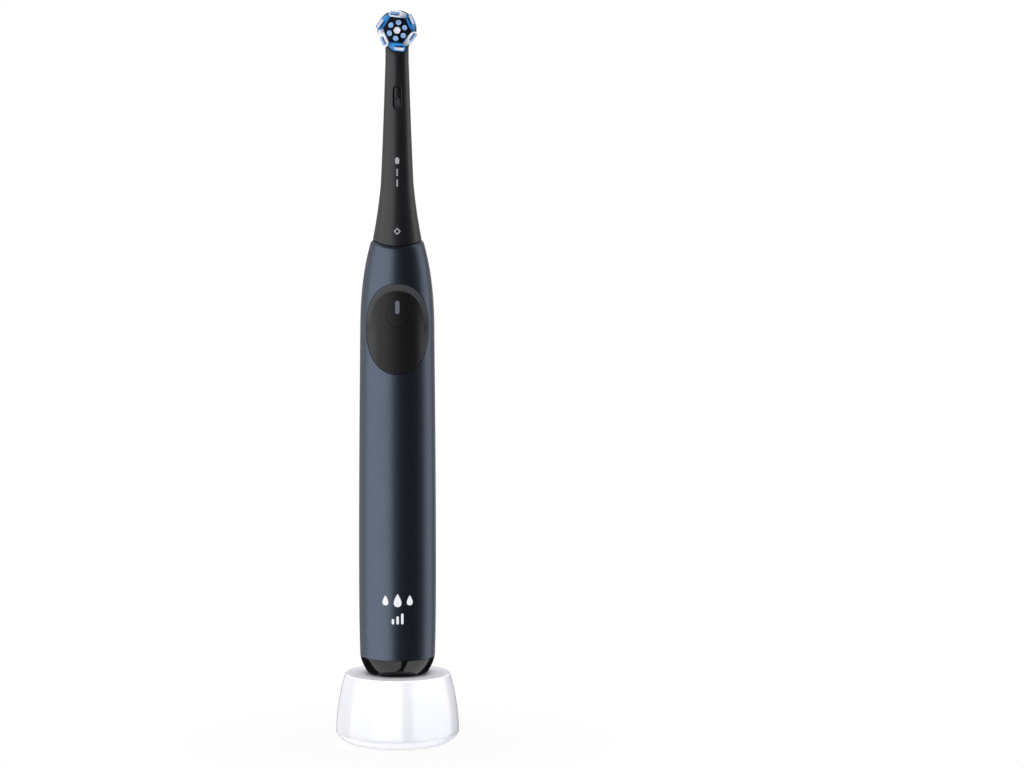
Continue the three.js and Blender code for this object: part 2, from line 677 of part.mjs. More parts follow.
const headCentre = top + brush.length;
const makeNeckSkin = () => {
  const throatTop = top + brush.throat;
  const tip = headCentre - brush.tipDrop;
  const fall = brush.rimRadius - brush.throatRadius;
  const slim = brush.throatRadius - brush.tipRadius;
  const flare = bezier(
    [brush.rimRadius, top],
    [brush.rimRadius - fall * 0.47, top + brush.throat * 0.34],
    [brush.throatRadius + fall * 0.17, top + brush.throat * 0.71],
    [brush.throatRadius, throatTop],
  );
  const shank = bezier(
    [brush.throatRadius, throatTop],
    [brush.throatRadius - slim * 0.35, throatTop + (tip - throatTop) * 0.27],
    [brush.tipRadius + slim * 0.32, throatTop + (tip - throatTop) * 0.63],
    [brush.tipRadius, tip],
  );
  const root = bow([brush.tipRadius, tip], [brush.tipRadius, tip + 2], [brush.rootRadius, headCentre - cup.radius + 1]);
  const start = [brush.rimRadius + seam.sag * 0.05, top - seam.sag - 1];
  return [start, ...pointsOf(flare, 5), ...pointsOf(shank, 3).slice(1), ...pointsOf(root, 2).slice(1)];
};
const neckSkin = makeNeckSkin();
const carrierBack = -cup.front - gap;
const carrierFront = carrierBack - carrier.thickness;
const axleFront = carrierFront + carrier.pocket + gap;

const makeNeck = () => {
  const inside = takenIn(neckSkin, brush.wall);
  const boreTop = [inside.at(-1)[0], headCentre];
  const aboveSeam = seamCylinder(seam.gap).add(block(-30, 30, -30, 30, seamCentre, headCentre + 30));
  const housing = roundAlongY(cup.radius, -cup.front, cup.back, 0, headCentre, fine);
  const pocket = roundAlongY(cup.radius - cup.wall, -cup.front - 9, cup.back - cup.wall, 0, headCentre, fine);
  const swing = roundAlongY(carrier.radius + gap, -30, -cup.front, 0, headCentre, fine);
  const window = prism(pill(slot.width, slot.height, headCentre - slot.drop), -20, 0);
  const neck = filled([...neckSkin, [neckSkin.at(-1)[0], headCentre - 3]], 32)
    .intersect(aboveSeam)
    .add(housing)
    .subtract(filled([...inside, boreTop], medium))
    .subtract(pocket)
    .subtract(swing)
    .subtract(window)
    .subtract(roundAlongY(axleRadius + fitGap / 2, 0, 20, 0, headCentre, coarse));
  placeOnHandle("neck_shell", neck, "blackSatin");

  const [low, high] = [top + insert.start, top + insert.start + insert.height];
  const outer = (z) => radiusAt(neckSkin, z) - brush.wall - insert.clearance;
  const bore = nose.radius + gap;
  const middle = (low + high) / 2;
  const sleeve = turned([[bore, low], [outer(low), low], [outer(middle), middle], [outer(high), high], [bore, high]]);
  placeOnHandle("neck_insert", sleeve, "greyPlastic");
  const axle = roundAlongY(axleRadius, axleFront, cup.back - fitGap, 0, headCentre, coarse);
  placeOnHandle("head_axle", axle, "steel");
};

const makePushRod = () => {
  const gripRadius = shaft.radius + runningGap + rod.socketWall;
  const shaftTop = top + shaft.reach;
  const gripBottom = shaftTop - rod.grip;
  const gripTop = shaftTop + gap + rod.cap;
  const grip = disc(gripRadius, gripBottom, gripTop);
  const bore = disc(shaft.radius + runningGap, gripBottom - 1, shaftTop + gap);
  const armStart = headCentre - rod.arm;
  const bar = block(-rod.half, rod.half, -rod.half, rod.half, gripTop - 0.5, armStart + rod.half);
  const padTop = headCentre - slot.drop;
  const padHalf = rod.padWidth / 2;
  const pad = block(-padHalf, padHalf, -rod.padDepth, 0, padTop - slot.height, padTop);

  const eyeRadius = crank.radius + crank.slide + rod.wall;
  const along = new THREE.Vector2(crank.offset, rod.arm).normalize();
  const across = new THREE.Vector2(along.y, -along.x).multiplyScalar(rod.half);
  const foot = new THREE.Vector2(0, armStart);
  const head = new THREE.Vector2(crank.offset, headCentre);
  const corners = [foot.clone().add(across), head.clone().add(across), head.clone().sub(across), foot.clone().sub(across)];
  const arm = prism(new THREE.Shape(corners), eye.front, eye.back);
  const boss = roundAlongY(eyeRadius, eye.front, eye.back, crank.offset, headCentre);
  const reach = crank.radius + crank.slide;
  const rise = crank.radius + crank.play;
  const hole = block(crank.offset - reach, crank.offset + reach, -5, 5, headCentre - rise, headCentre + rise);
  const body = grip.subtract(bore).add(bar).add(pad).add(arm).add(boss).subtract(hole);
  placeOnHandle("push_rod", body, "ivoryPlastic");

  const half = Math.PI - clip.opening / 2;
  const inner = gripRadius + fitGap;
  const outline = new THREE.Shape()
    .absarc(0, 0, inner + clip.thickness, -half, half, false)
    .absarc(0, 0, inner, half, -half, true);
  const extrusion = new THREE.ExtrudeGeometry(outline, { depth: clip.height, bevelEnabled: false, curveSegments: 12 });
  placeOnHandle("shaft_clip", solidOf(extrusion.translate(0, 0, gripBottom + clip.rise)), "steel");
};

// Bristles stand on the carrier's front and lean as they rise: from the carrier's ring and angle to the tip's.
const tuftAt = (kind, index) => {
  const tip = THREE.MathUtils.degToRad(kind.angle - (360 / tuft.count) * index);
  const base = tip - THREE.MathUtils.degToRad(kind.lean);
  const start = new THREE.Vector2(Math.cos(base), Math.sin(base)).multiplyScalar(kind.ring);
  const end = new THREE.Vector2(Math.cos(tip), Math.sin(tip)).multiplyScalar(kind.tipRing);
  return { start, end, facing: (tip + base) / 2 };
};
const bristles = (kind, { start, end, facing }, grow, from, to) => {
  const radius = kind.radius + grow;
  const straight = kind.width ? kind.width / 2 - kind.radius : 0;
  const section = new THREE.Shape()
    .absarc(0, straight, radius, 0, Math.PI, false)
    .absarc(0, -straight, radius, Math.PI, 2 * Math.PI, false);
  const slope = end.clone().sub(start).divideScalar(-(kind.length + carrier.pocket));
  const geometry = prismGeometry(section, from, to, 5).rotateY(-facing);
  geometry.translate(0, -(carrierFront + carrier.pocket), 0);
  geometry.applyMatrix4(new THREE.Matrix4().makeShear(0, 0, slope.x, slope.y, 0, 0));
  return solidOf(geometry.translate(start.x, carrierFront + carrier.pocket, headCentre + start.y));
};
const centreTuft = { start: new THREE.Vector2(), end: new THREE.Vector2(), facing: 0 };

const makeBristleHead = () => {
  const pocketOf = (kind, at) =>
    bristles(kind, at, fitGap / 2, carrierFront - 0.5, carrierFront + carrier.pocket);
  const tuftOf = (kind, at) =>
    bristles(kind, at, 0, carrierFront - kind.length, carrierFront + carrier.pocket - fitGap / 2);
  let plate = roundAlongY(carrier.radius, carrierFront, carrierBack, 0, headCentre, fine)
    .add(roundAlongY(carrier.hubRadius, carrierBack - 0.2, carrierBack + carrier.hub, 0, headCentre))
    .add(roundAlongY(crank.radius, carrierBack - 0.2, carrierBack + crank.length, crank.offset, headCentre, coarse))
    .subtract(roundAlongY(axleRadius + runningGap, axleFront - fitGap, carrierBack + 2, 0, headCentre, coarse));
  plate = plate.subtract(pocketOf(tuft.centre, centreTuft));
  placeOnHandle("center_tuft", tuftOf(tuft.centre, centreTuft), "whiteBristle");
  for (let i = 0; i < tuft.count; i += 1) {
    const inner = tuftAt(tuft.inner, i);
    const outer = tuftAt(tuft.outer, i);
    plate = plate.subtract(pocketOf(tuft.inner, inner)).subtract(pocketOf(tuft.outer, outer));
    placeOnHandle(`inner_tuft_${i + 1}`, tuftOf(tuft.inner, inner), "paleBlueBristle");
    placeOnHandle(`outer_tuft_${i + 1}`, tuftOf(tuft.outer, outer), i % 2 ? "blueBristle" : "whiteBristle");
  }
  placeOnHandle("bristle_carrier", plate, "blackSatin");
};

makeHousing();
makeChargerBase();
makeChargerInsides();
makeGland();
makeBaseCap();
makeShell();
makePanel();
makeButton();
makeChassis();
makeBattery();
makeBoard();
makeMotor();
makeDrive();
makeSprings();
makeNose();
makeNeck();
makePushRod();
makeBristleHead();

export default part;
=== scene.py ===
import json
import math
import random

import bmesh
import bpy
from mathutils import Matrix, Vector, geometry

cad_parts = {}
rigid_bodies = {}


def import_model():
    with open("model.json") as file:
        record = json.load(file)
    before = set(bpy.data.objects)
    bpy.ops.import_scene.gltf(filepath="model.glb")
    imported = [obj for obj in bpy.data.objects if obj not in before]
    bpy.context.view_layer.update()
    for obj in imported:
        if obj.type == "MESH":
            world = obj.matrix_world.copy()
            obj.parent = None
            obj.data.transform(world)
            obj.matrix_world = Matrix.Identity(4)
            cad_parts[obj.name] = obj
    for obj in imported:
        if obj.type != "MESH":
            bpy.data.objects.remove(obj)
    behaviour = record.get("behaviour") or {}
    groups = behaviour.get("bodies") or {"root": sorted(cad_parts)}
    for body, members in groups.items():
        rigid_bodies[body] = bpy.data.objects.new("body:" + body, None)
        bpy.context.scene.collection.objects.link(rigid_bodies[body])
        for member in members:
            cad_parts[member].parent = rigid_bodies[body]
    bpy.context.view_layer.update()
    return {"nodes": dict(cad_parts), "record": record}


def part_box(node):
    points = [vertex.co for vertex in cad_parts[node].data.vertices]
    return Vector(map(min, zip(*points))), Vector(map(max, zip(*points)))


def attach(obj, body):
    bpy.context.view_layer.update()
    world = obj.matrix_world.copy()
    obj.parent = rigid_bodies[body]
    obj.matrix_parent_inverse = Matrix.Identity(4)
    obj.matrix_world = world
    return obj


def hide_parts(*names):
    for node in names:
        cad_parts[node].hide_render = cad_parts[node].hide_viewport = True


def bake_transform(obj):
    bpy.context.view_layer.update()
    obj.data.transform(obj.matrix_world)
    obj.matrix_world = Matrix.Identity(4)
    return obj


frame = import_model()
print("frame loaded:", len(frame["nodes"]), "nodes")

mm = 0.001
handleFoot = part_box("base_cap")[0].z / mm  # heights of the handle are counted from here
headHeight = (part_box("head_axle")[0].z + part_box("head_axle")[1].z) / 2 / mm - handleFoot
smoothAngle = math.radians(34)


# Outlines are (radius, height) or (x, height) in millimetres.

def curve(corners, steps):
    a, b, c, d = [Vector((r, z, 0)) for r, z in corners]
    return [(p.x, p.y) for p in geometry.interpolate_bezier(a, b, c, d, steps + 1)]


def bow(start, control, end, steps):
    ends = [Vector(start), Vector(end)]
    pulls = [p.lerp(Vector(control), 2 / 3) for p in ends]
    return curve([start, pulls[0], pulls[1], end], steps)


def corner(centreR, centreZ, size, fromDeg, toDeg, steps=4):
    turns = [math.radians(fromDeg + (toDeg - fromDeg) * i / steps) for i in range(steps + 1)]
    return [(centreR + size * math.cos(t), centreZ + size * math.sin(t)) for t in turns]


def turnsOf(count, offset=0.0):
    return [2 * math.pi * (i + offset) / count for i in range(count)]


def radiusAt(profile, height):
    for (r0, z0), (r1, z1) in zip(profile, profile[1:]):
        if z1 >= height:
            return r0 + (r1 - r0) * (height - z0) / (z1 - z0)
    return profile[-1][0]


def smoothStep(low, high, value):
    t = min(1, max(0, (value - low) / (high - low)))
    return t * t * (3 - 2 * t)


def tidied(shape):
    bmesh.ops.remove_doubles(shape, verts=shape.verts[:], dist=2e-6)
    bmesh.ops.dissolve_degenerate(shape, edges=shape.edges[:], dist=1e-7)
    bmesh.ops.recalc_face_normals(shape, faces=shape.faces[:])
    return shape


def spun(profile, steps=128, lift=0.0, closed=False):
    shape = bmesh.new()
    points = [shape.verts.new((r * mm, 0, (z + lift) * mm)) for r, z in profile]
    ends = points[1:] + points[:1] if closed else points[1:]
    for a, b in zip(points, ends):
        shape.edges.new((a, b))
    bmesh.ops.spin(shape, geom=shape.verts[:] + shape.edges[:], cent=(0, 0, 0), axis=(0, 0, 1),
                   angle=2 * math.pi, steps=steps, use_merge=True)
    return tidied(shape)


# The same about an axis along Y: profile points are (radius, y).
def spunAlongY(profile, steps=96, x=0.0, height=0.0, closed=False):
    shape = spun(profile, steps, closed=closed)
    bmesh.ops.rotate(shape, verts=shape.verts[:], cent=(0, 0, 0),
                     matrix=Matrix.Rotation(-math.pi / 2, 3, "X"))
    bmesh.ops.translate(shape, verts=shape.verts[:], vec=(x * mm, 0, height * mm))
    return shape


# A closed body from rings of equally many points, each ring extruded from the last and moved into place.
def stacked(rings):
    shape = bmesh.new()
    loop = bmesh.ops.create_circle(shape, segments=len(rings[0]), radius=1)["verts"]
    for vert, point in zip(loop, rings[0]):
        vert.co = Vector(point) * mm
    for ring in rings[1:]:
        edges = [shape.edges.get((a, b)) for a, b in zip(loop, loop[1:] + loop[:1])]
        made = bmesh.ops.extrude_edge_only(shape, edges=edges)["geom"]
        new = {g for g in made if isinstance(g, bmesh.types.BMVert)}
        loop = [next(e.other_vert(v) for e in v.link_edges if e.other_vert(v) in new) for v in loop]
        for vert, point in zip(loop, ring):
            vert.co = Vector(point) * mm
    return tidied(shape)


def meshOf(shape, name):
    mesh = bpy.data.meshes.new(name)
    shape.to_mesh(mesh)
    shape.free()
    return mesh


def addTo(shape, part):
    mesh = meshOf(part, "part")
    shape.from_mesh(mesh)
    bpy.data.meshes.remove(mesh)


# Exact Boolean of one shape with several others, with the helpers thrown away.
def cut(shape, tools, operation="DIFFERENCE"):
    target = bpy.data.objects.new("target", meshOf(shape, "target"))
    bpy.context.scene.collection.objects.link(target)
    helpers = [target]
    for tool in tools:
        helper = bpy.data.objects.new("tool", meshOf(tool, "tool"))
        bpy.context.scene.collection.objects.link(helper)
        helpers.append(helper)
        modifier = target.modifiers.new("cut", "BOOLEAN")
        modifier.operation, modifier.solver, modifier.object = operation, "EXACT", helper
    bpy.context.view_layer.update()
    result = bpy.data.meshes.new_from_object(target.evaluated_get(bpy.context.evaluated_depsgraph_get()))
    done = bmesh.new()
    done.from_mesh(result)
    for helper in helpers:
        old = helper.data
        bpy.data.objects.remove(helper)
        bpy.data.meshes.remove(old)
    bpy.data.meshes.remove(result)
    bmesh.ops.remove_doubles(done, verts=done.verts[:], dist=1e-6)
    return done


# The slot is also the name of its finish, unless another material is given.
def finishPiece(name, shape, slot, body, stands=(), material=None, angle=smoothAngle, weighted=False):
    mesh = meshOf(shape, name)
    mesh.shade_smooth()
    mesh.set_sharp_from_angle(angle=angle)
    piece = bpy.data.objects.new(name, mesh)
    bpy.context.scene.collection.objects.link(piece)
    mesh.materials.append(material or finishes[slot])
    if weighted:
        piece.modifiers.new("even shading", "WEIGHTED_NORMAL").keep_sharp = True
    if body:
        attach(piece, body)
    if stands:
        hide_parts(*stands)
    return piece


def newGroup(name, inputs, outputs):
    group = bpy.data.node_groups.new(name, "ShaderNodeTree")
    for socketName, kind, value in inputs:
        socket = group.interface.new_socket(socketName, in_out="INPUT", socket_type=kind)
        socket.default_value = value
    for socketName, kind in outputs:
        group.interface.new_socket(socketName, in_out="OUTPUT", socket_type=kind)
    return group, group.nodes.new("NodeGroupInput"), group.nodes.new("NodeGroupOutput")


def node(tree, kind, links=None, **values):
    made = tree.nodes.new(kind)
    for key, value in values.items():
        setattr(made, key, value)
    for key, value in (links or {}).items():
        if isinstance(value, bpy.types.NodeSocket):
            tree.links.new(value, made.inputs[key])
        else:
            made.inputs[key].default_value = value
    return made


def makeGrainGroup():
    group, given, result = newGroup(
        "surface grain",
        [("Stretch", "NodeSocketVector", (1, 1, 1)), ("Grain Scale", "NodeSocketFloat", 2500),
         ("Patch Scale", "NodeSocketFloat", 60), ("Roughness", "NodeSocketFloat", 0.4),
         ("Spread", "NodeSocketFloat", 0.05)],
        [("Patches", "NodeSocketFloat"), ("Roughness", "NodeSocketFloat"), ("Grain", "NodeSocketFloat")])
    place = node(group, "ShaderNodeTexCoord")
    scaled = node(group, "ShaderNodeVectorMath", {0: place.outputs["Object"], 1: given.outputs["Stretch"]},
                  operation="MULTIPLY")
    patches = node(group, "ShaderNodeTexNoise", {"Vector": place.outputs["Object"],
                   "Scale": given.outputs["Patch Scale"], "Detail": 4, "Roughness": 0.55})
    grain = node(group, "ShaderNodeTexNoise", {"Vector": scaled.outputs[0],
                 "Scale": given.outputs["Grain Scale"], "Detail": 3, "Roughness": 0.6})
    both = node(group, "ShaderNodeMath", {0: patches.outputs["Fac"], 1: grain.outputs["Fac"]},
                operation="ADD")
    centred = node(group, "ShaderNodeMath", {0: both.outputs[0], 1: 1.0}, operation="SUBTRACT")
    shift = node(group, "ShaderNodeMath", {0: centred.outputs[0], 1: given.outputs["Spread"],
                 2: given.outputs["Roughness"]}, operation="MULTIPLY_ADD")
    group.links.new(patches.outputs["Fac"], result.inputs["Patches"])
    group.links.new(shift.outputs[0], result.inputs["Roughness"])
    group.links.new(grain.outputs["Fac"], result.inputs["Grain"])
    return group


def makeFlakeGroup():
    group, given, result = newGroup(
        "metal flakes", [("Scale", "NodeSocketFloat", 7000)],
        [("Sparkle", "NodeSocketFloat"), ("Height", "NodeSocketFloat")])
    place = node(group, "ShaderNodeTexCoord")
    cells = node(group, "ShaderNodeTexVoronoi", {"Vector": place.outputs["Object"],
                 "Scale": given.outputs["Scale"], "Randomness": 1.0}, feature="F1")
    parts = node(group, "ShaderNodeSeparateColor", {"Color": cells.outputs["Color"]})
    few = node(group, "ShaderNodeMapRange", {"Value": parts.outputs[0], "From Min": 0.55, "From Max": 1.0})
    group.links.new(few.outputs["Result"], result.inputs["Sparkle"])
    group.links.new(parts.outputs[1], result.inputs["Height"])
    return group


def makeRubGroup():
    group, given, result = newGroup(
        "edge rub", [("Start", "NodeSocketFloat", 0.53), ("Full", "NodeSocketFloat", 0.6)],
        [("Mask", "NodeSocketFloat")])
    edges = node(group, "ShaderNodeNewGeometry")
    place = node(group, "ShaderNodeTexCoord")
    broken = node(group, "ShaderNodeTexNoise", {"Vector": place.outputs["Object"], "Scale": 900, "Detail": 4})
    mask = node(group, "ShaderNodeMapRange", {"Value": edges.outputs["Pointiness"],
                "From Min": given.outputs["Start"], "From Max": given.outputs["Full"]})
    patchy = node(group, "ShaderNodeMath", {0: mask.outputs["Result"], 1: broken.outputs["Fac"]},
                 operation="MULTIPLY")
    group.links.new(patchy.outputs[0], result.inputs["Mask"])
    return group


grainGroup, flakeGroup, rubGroup = makeGrainGroup(), makeFlakeGroup(), makeRubGroup()


def linear(hexColour):
    parts = [int(hexColour[i:i + 2], 16) / 255 for i in (0, 2, 4)]
    return [*(c / 12.92 if c <= 0.04045 else ((c + 0.055) / 1.055) ** 2.4 for c in parts), 1]


def mixed(tree, factor, first, second, blend="MIX"):
    made = node(tree, "ShaderNodeMix", data_type="RGBA", blend_type=blend)
    for index, value in ((0, factor), (6, first), (7, second)):
        if isinstance(value, bpy.types.NodeSocket):
            tree.links.new(value, made.inputs[index])
        else:
            made.inputs[index].default_value = value
    return made.outputs[2]


# A moulded or machined surface: two close tones in patches, fine grain, a little uneven gloss
# and rubbed edges.
def surface(name, tones, roughness, spread=0.05, grain=2500, bump=0.0, patch=60, stretch=(1, 1, 1),
            rubbed=None, **shader):
    material = bpy.data.materials.new(name)
    material.use_nodes = True
    tree = material.node_tree
    principled = tree.nodes["Principled BSDF"]
    grainNode = node(tree, "ShaderNodeGroup", node_tree=grainGroup)
    for key, value in (("Stretch", stretch), ("Grain Scale", grain), ("Patch Scale", patch),
                       ("Roughness", roughness), ("Spread", spread)):
        grainNode.inputs[key].default_value = value
    colour = mixed(tree, grainNode.outputs["Patches"], linear(tones[0]), linear(tones[1]))
    if rubbed:
        rub = node(tree, "ShaderNodeGroup", node_tree=rubGroup)
        colour = mixed(tree, rub.outputs["Mask"], colour, linear(rubbed))
    tree.links.new(colour, principled.inputs["Base Color"])
    tree.links.new(grainNode.outputs["Roughness"], principled.inputs["Roughness"])
    if bump:
        relief = node(tree, "ShaderNodeBump", {"Height": grainNode.outputs["Grain"], "Strength": 1.0,
                      "Distance": bump * mm})
        tree.links.new(relief.outputs["Normal"], principled.inputs["Normal"])
    for key, value in shader.items():
        principled.inputs[key.replace("_", " ")].default_value = value
    return material


def inputFed(material, name):
    return material.node_tree.nodes["Principled BSDF"].inputs[name].links[0].from_socket


# Bands across an axis, for windings and printed wraps.
def banded(material, toneHex, scale, direction="Z", depth=0.0, sharp=False):
    tree = material.node_tree
    principled = tree.nodes["Principled BSDF"]
    place = node(tree, "ShaderNodeTexCoord")
    wave = node(tree, "ShaderNodeTexWave", {"Vector": place.outputs["Object"], "Scale": scale},
                bands_direction=direction)
    factor = wave.outputs["Fac"]
    if sharp:
        hard = node(tree, "ShaderNodeMapRange", {"Value": factor, "From Min": 0.9, "From Max": 0.94})
        factor = hard.outputs[0]
    tree.links.new(mixed(tree, factor, inputFed(material, "Base Color"), linear(toneHex)),
                   principled.inputs["Base Color"])
    if depth:
        relief = node(tree, "ShaderNodeBump", {"Height": wave.outputs["Fac"], "Strength": 1.0,
                      "Distance": depth * mm})
        tree.links.new(relief.outputs["Normal"], principled.inputs["Normal"])
    return material


def lacquer():
    material = surface("navy metallic lacquer", ("4d5562", "49515e"), 0.38, spread=0.05, grain=3000, patch=45,
                       Metallic=0.93)
    tree = material.node_tree
    principled = tree.nodes["Principled BSDF"]
    flakes = node(tree, "ShaderNodeGroup", node_tree=flakeGroup)
    faint = node(tree, "ShaderNodeMath", {0: flakes.outputs["Sparkle"], 1: 0.35}, operation="MULTIPLY")
    tree.links.new(mixed(tree, faint.outputs[0], inputFed(material, "Base Color"), linear("6d7583")),
                   principled.inputs["Base Color"])
    relief = node(tree, "ShaderNodeBump", {"Height": flakes.outputs["Height"], "Strength": 0.12,
                  "Distance": 0.01 * mm})
    tree.links.new(relief.outputs["Normal"], principled.inputs["Normal"])
    return material


# The thumb panel: a painted highlight makes its raised border and the sides of the recess a lighter tone than
# the recess, read from the piece's own attribute.
def elastomer():
    material = surface("thumb panel elastomer", ("0f1011", "121314"), 0.52, spread=0.1, grain=5200,
                       bump=0.012, patch=90, Specular_IOR_Level=0.3)
    tree = material.node_tree
    painted_panel_highlight = node(tree, "ShaderNodeAttribute", attribute_name="painted_panel_highlight")
    tree.links.new(mixed(tree, painted_panel_highlight.outputs["Fac"], inputFed(material, "Base Color"), linear("3e4043")),
                   tree.nodes["Principled BSDF"].inputs["Base Color"])
    return material


# Nylon filaments: sheath, core and streak tones by the attribute "core", with painted shade darkening them
# towards the root.
def nylon(name, sheath, core, streak, root):
    material = surface(name, (sheath, sheath), 0.38, spread=0.12, grain=1800, patch=500,
                       Subsurface_Weight=0.25, Subsurface_Scale=0.4 * mm)
    tree = material.node_tree
    principled = tree.nodes["Principled BSDF"]
    part = node(tree, "ShaderNodeAttribute", attribute_name="core")
    along = node(tree, "ShaderNodeAttribute", attribute_name="along")
    toCore = node(tree, "ShaderNodeMapRange", {"Value": part.outputs["Fac"], "From Min": 0.2,
                  "From Max": 0.4})
    toStreak = node(tree, "ShaderNodeMapRange", {"Value": part.outputs["Fac"], "From Min": 0.7,
                    "From Max": 0.9})
    colour = mixed(tree, toCore.outputs[0], inputFed(material, "Base Color"), linear(core))
    colour = mixed(tree, toStreak.outputs[0], colour, linear(streak))
    # Painted shade: the filaments blend to the root tone over the lower part of their length.
    painted_root_shade = node(tree, "ShaderNodeMapRange", {"Value": along.outputs["Fac"], "From Min": 0.0, "From Max": 0.6,
                "To Min": 1.0, "To Max": 0.0})
    tree.links.new(mixed(tree, painted_root_shade.outputs[0], colour, linear(root)), principled.inputs["Base Color"])
    principled.inputs["Subsurface Radius"].default_value = (1, 1, 1)
    return material


def circuitBoard():
    material = surface("board green", ("12482a", "175a35"), 0.35, spread=0.08, grain=2000, patch=160,
                       Coat_Weight=0.4, Coat_Roughness=0.2)
    tree = material.node_tree
    place = node(tree, "ShaderNodeTexCoord")
    tracks = node(tree, "ShaderNodeTexBrick", {"Vector": place.outputs["Object"], "Scale": 420,
                  "Mortar Size": 0.035, "Color1": (0, 0, 0, 1), "Color2": (0, 0, 0, 1),
                  "Mortar": (1, 1, 1, 1)})
    tree.links.new(mixed(tree, tracks.outputs["Color"], inputFed(material, "Base Color"), linear("2f8a52")),
                   tree.nodes["Principled BSDF"].inputs["Base Color"])
    return material


finishes = {
    "navy_metallic": lacquer(),
    "black_gloss": surface("gloss black cap", ("0a0a0c", "0c0c0e"), 0.1, spread=0.05, patch=35,
                           Specular_IOR_Level=0.5),
    "black_satin": surface("satin black neck", ("14151a", "18191f"), 0.4, spread=0.08, grain=4200, bump=0.006,
                           patch=70),
    "dark_rubber": elastomer(),
    "white_gloss": surface("gloss white housing", ("d6d7db", "d2d3d8"), 0.16, spread=0.06, patch=40,
                           Specular_IOR_Level=0.9),
    "soft_grey": surface("soft foot grey", ("b4b6ba", "bdbfc2"), 0.8, grain=3200, bump=0.03, patch=120),
    "seal_rubber": surface("seal rubber", ("131315", "1a1a1c"), 0.68, spread=0.1, grain=3500, bump=0.02),
    "steel": surface("ground steel", ("b3b7bb", "c2c5c9"), 0.26, spread=0.14, grain=1500,
                     stretch=(1, 1, 0.06), bump=0.004, rubbed="dfe2e5", Metallic=1.0),
    "nickel": surface("nickel plate", ("c3bfae", "cfcbbb"), 0.33, spread=0.12, grain=1800, bump=0.004,
                      rubbed="e6e2d4", Metallic=1.0),
    "copper": banded(surface("enamelled copper", ("a9582a", "bd6c36"), 0.34, spread=0.1, Metallic=0.9),
                     "6e3415", 900, depth=0.08),
    "ferrite": surface("sintered ferrite", ("262628", "3a3a3c"), 0.6, spread=0.15, grain=5000, bump=0.03,
                       patch=1500, Metallic=0.3),
    "magnet_plate": surface("magnet plating", ("c8cace", "d8dadd"), 0.2, spread=0.1, rubbed="f0f1f2",
                            Metallic=1.0),
    "bronze": surface("sintered bronze", ("8a6838", "a67e48"), 0.42, spread=0.15, grain=4500, bump=0.02,
                      patch=1200, Metallic=0.9),
    "board_green": circuitBoard(),
    "chip_black": surface("moulded black", ("101112", "161718"), 0.5, spread=0.12, grain=4000, bump=0.01),
    "ivory_plastic": surface("ivory plastic", ("d6d0c0", "ddd8ca"), 0.5, spread=0.1, grain=2400, bump=0.008),
    "grey_plastic": surface("grey plastic", ("4a4c51", "53565b"), 0.5, spread=0.1, grain=2600, bump=0.01),
    "cell_wrap": banded(surface("battery wrap", ("2a6685", "33749a"), 0.32, spread=0.08, Coat_Weight=0.3),
                        "d9dde0", 60, sharp=True),
    "milky_window": surface("milky window", ("5f6371", "666a78"), 0.3, spread=0.06, patch=300,
                            Coat_Weight=0.2),
    # The last tone of each bristle is painted shade near the roots, deep in the tuft.
    "white_bristle": nylon("white bristle", "fbfcff", "b4d2f4", "3a6296", "a9bfce"),
    "pale_blue_bristle": nylon("pale blue bristle", "b4d8fb", "8dbdf0", "6f9fd6", "1d5c98"),
    "blue_bristle": nylon("blue bristle", "3394d8", "f6f5fc", "0a4a86", "0f5f9f"),
}
printWhite = surface("white print", ("f4f4f6", "ececf0"), 0.45, grain=6000, patch=800)
printGrey = surface("grey print", ("9fa0a4", "a9aaae"), 0.5, grain=6000, patch=800)
printBlack = surface("button dots", ("010101", "030303"), 0.7, grain=5000, patch=600, Specular_IOR_Level=0.05)
print("materials made:", len(finishes) + 3)


charger = {
    "height": 25.4, "waist": 22.4, "top": 19.3, "foot": 18.6, "parting": 3.8, "belly": 0.7, "wall": 1.8,
    "rim": 0.75, "postRadius": 4.8, "postHeight": 11.5, "glandHeight": 9.5, "glandRadius": 2.9,
    "flangeRadius": 3.8, "glandSeat": 21.38,
}


def chargerSide(inset, low, high, steps=14):
    middle = (charger["waist"] + charger["top"]) / 2 + 2 * charger["belly"] - inset
    return bow((charger["waist"] - inset, low), (middle, (low + high) / 2),
               (charger["top"] - inset, high), steps)


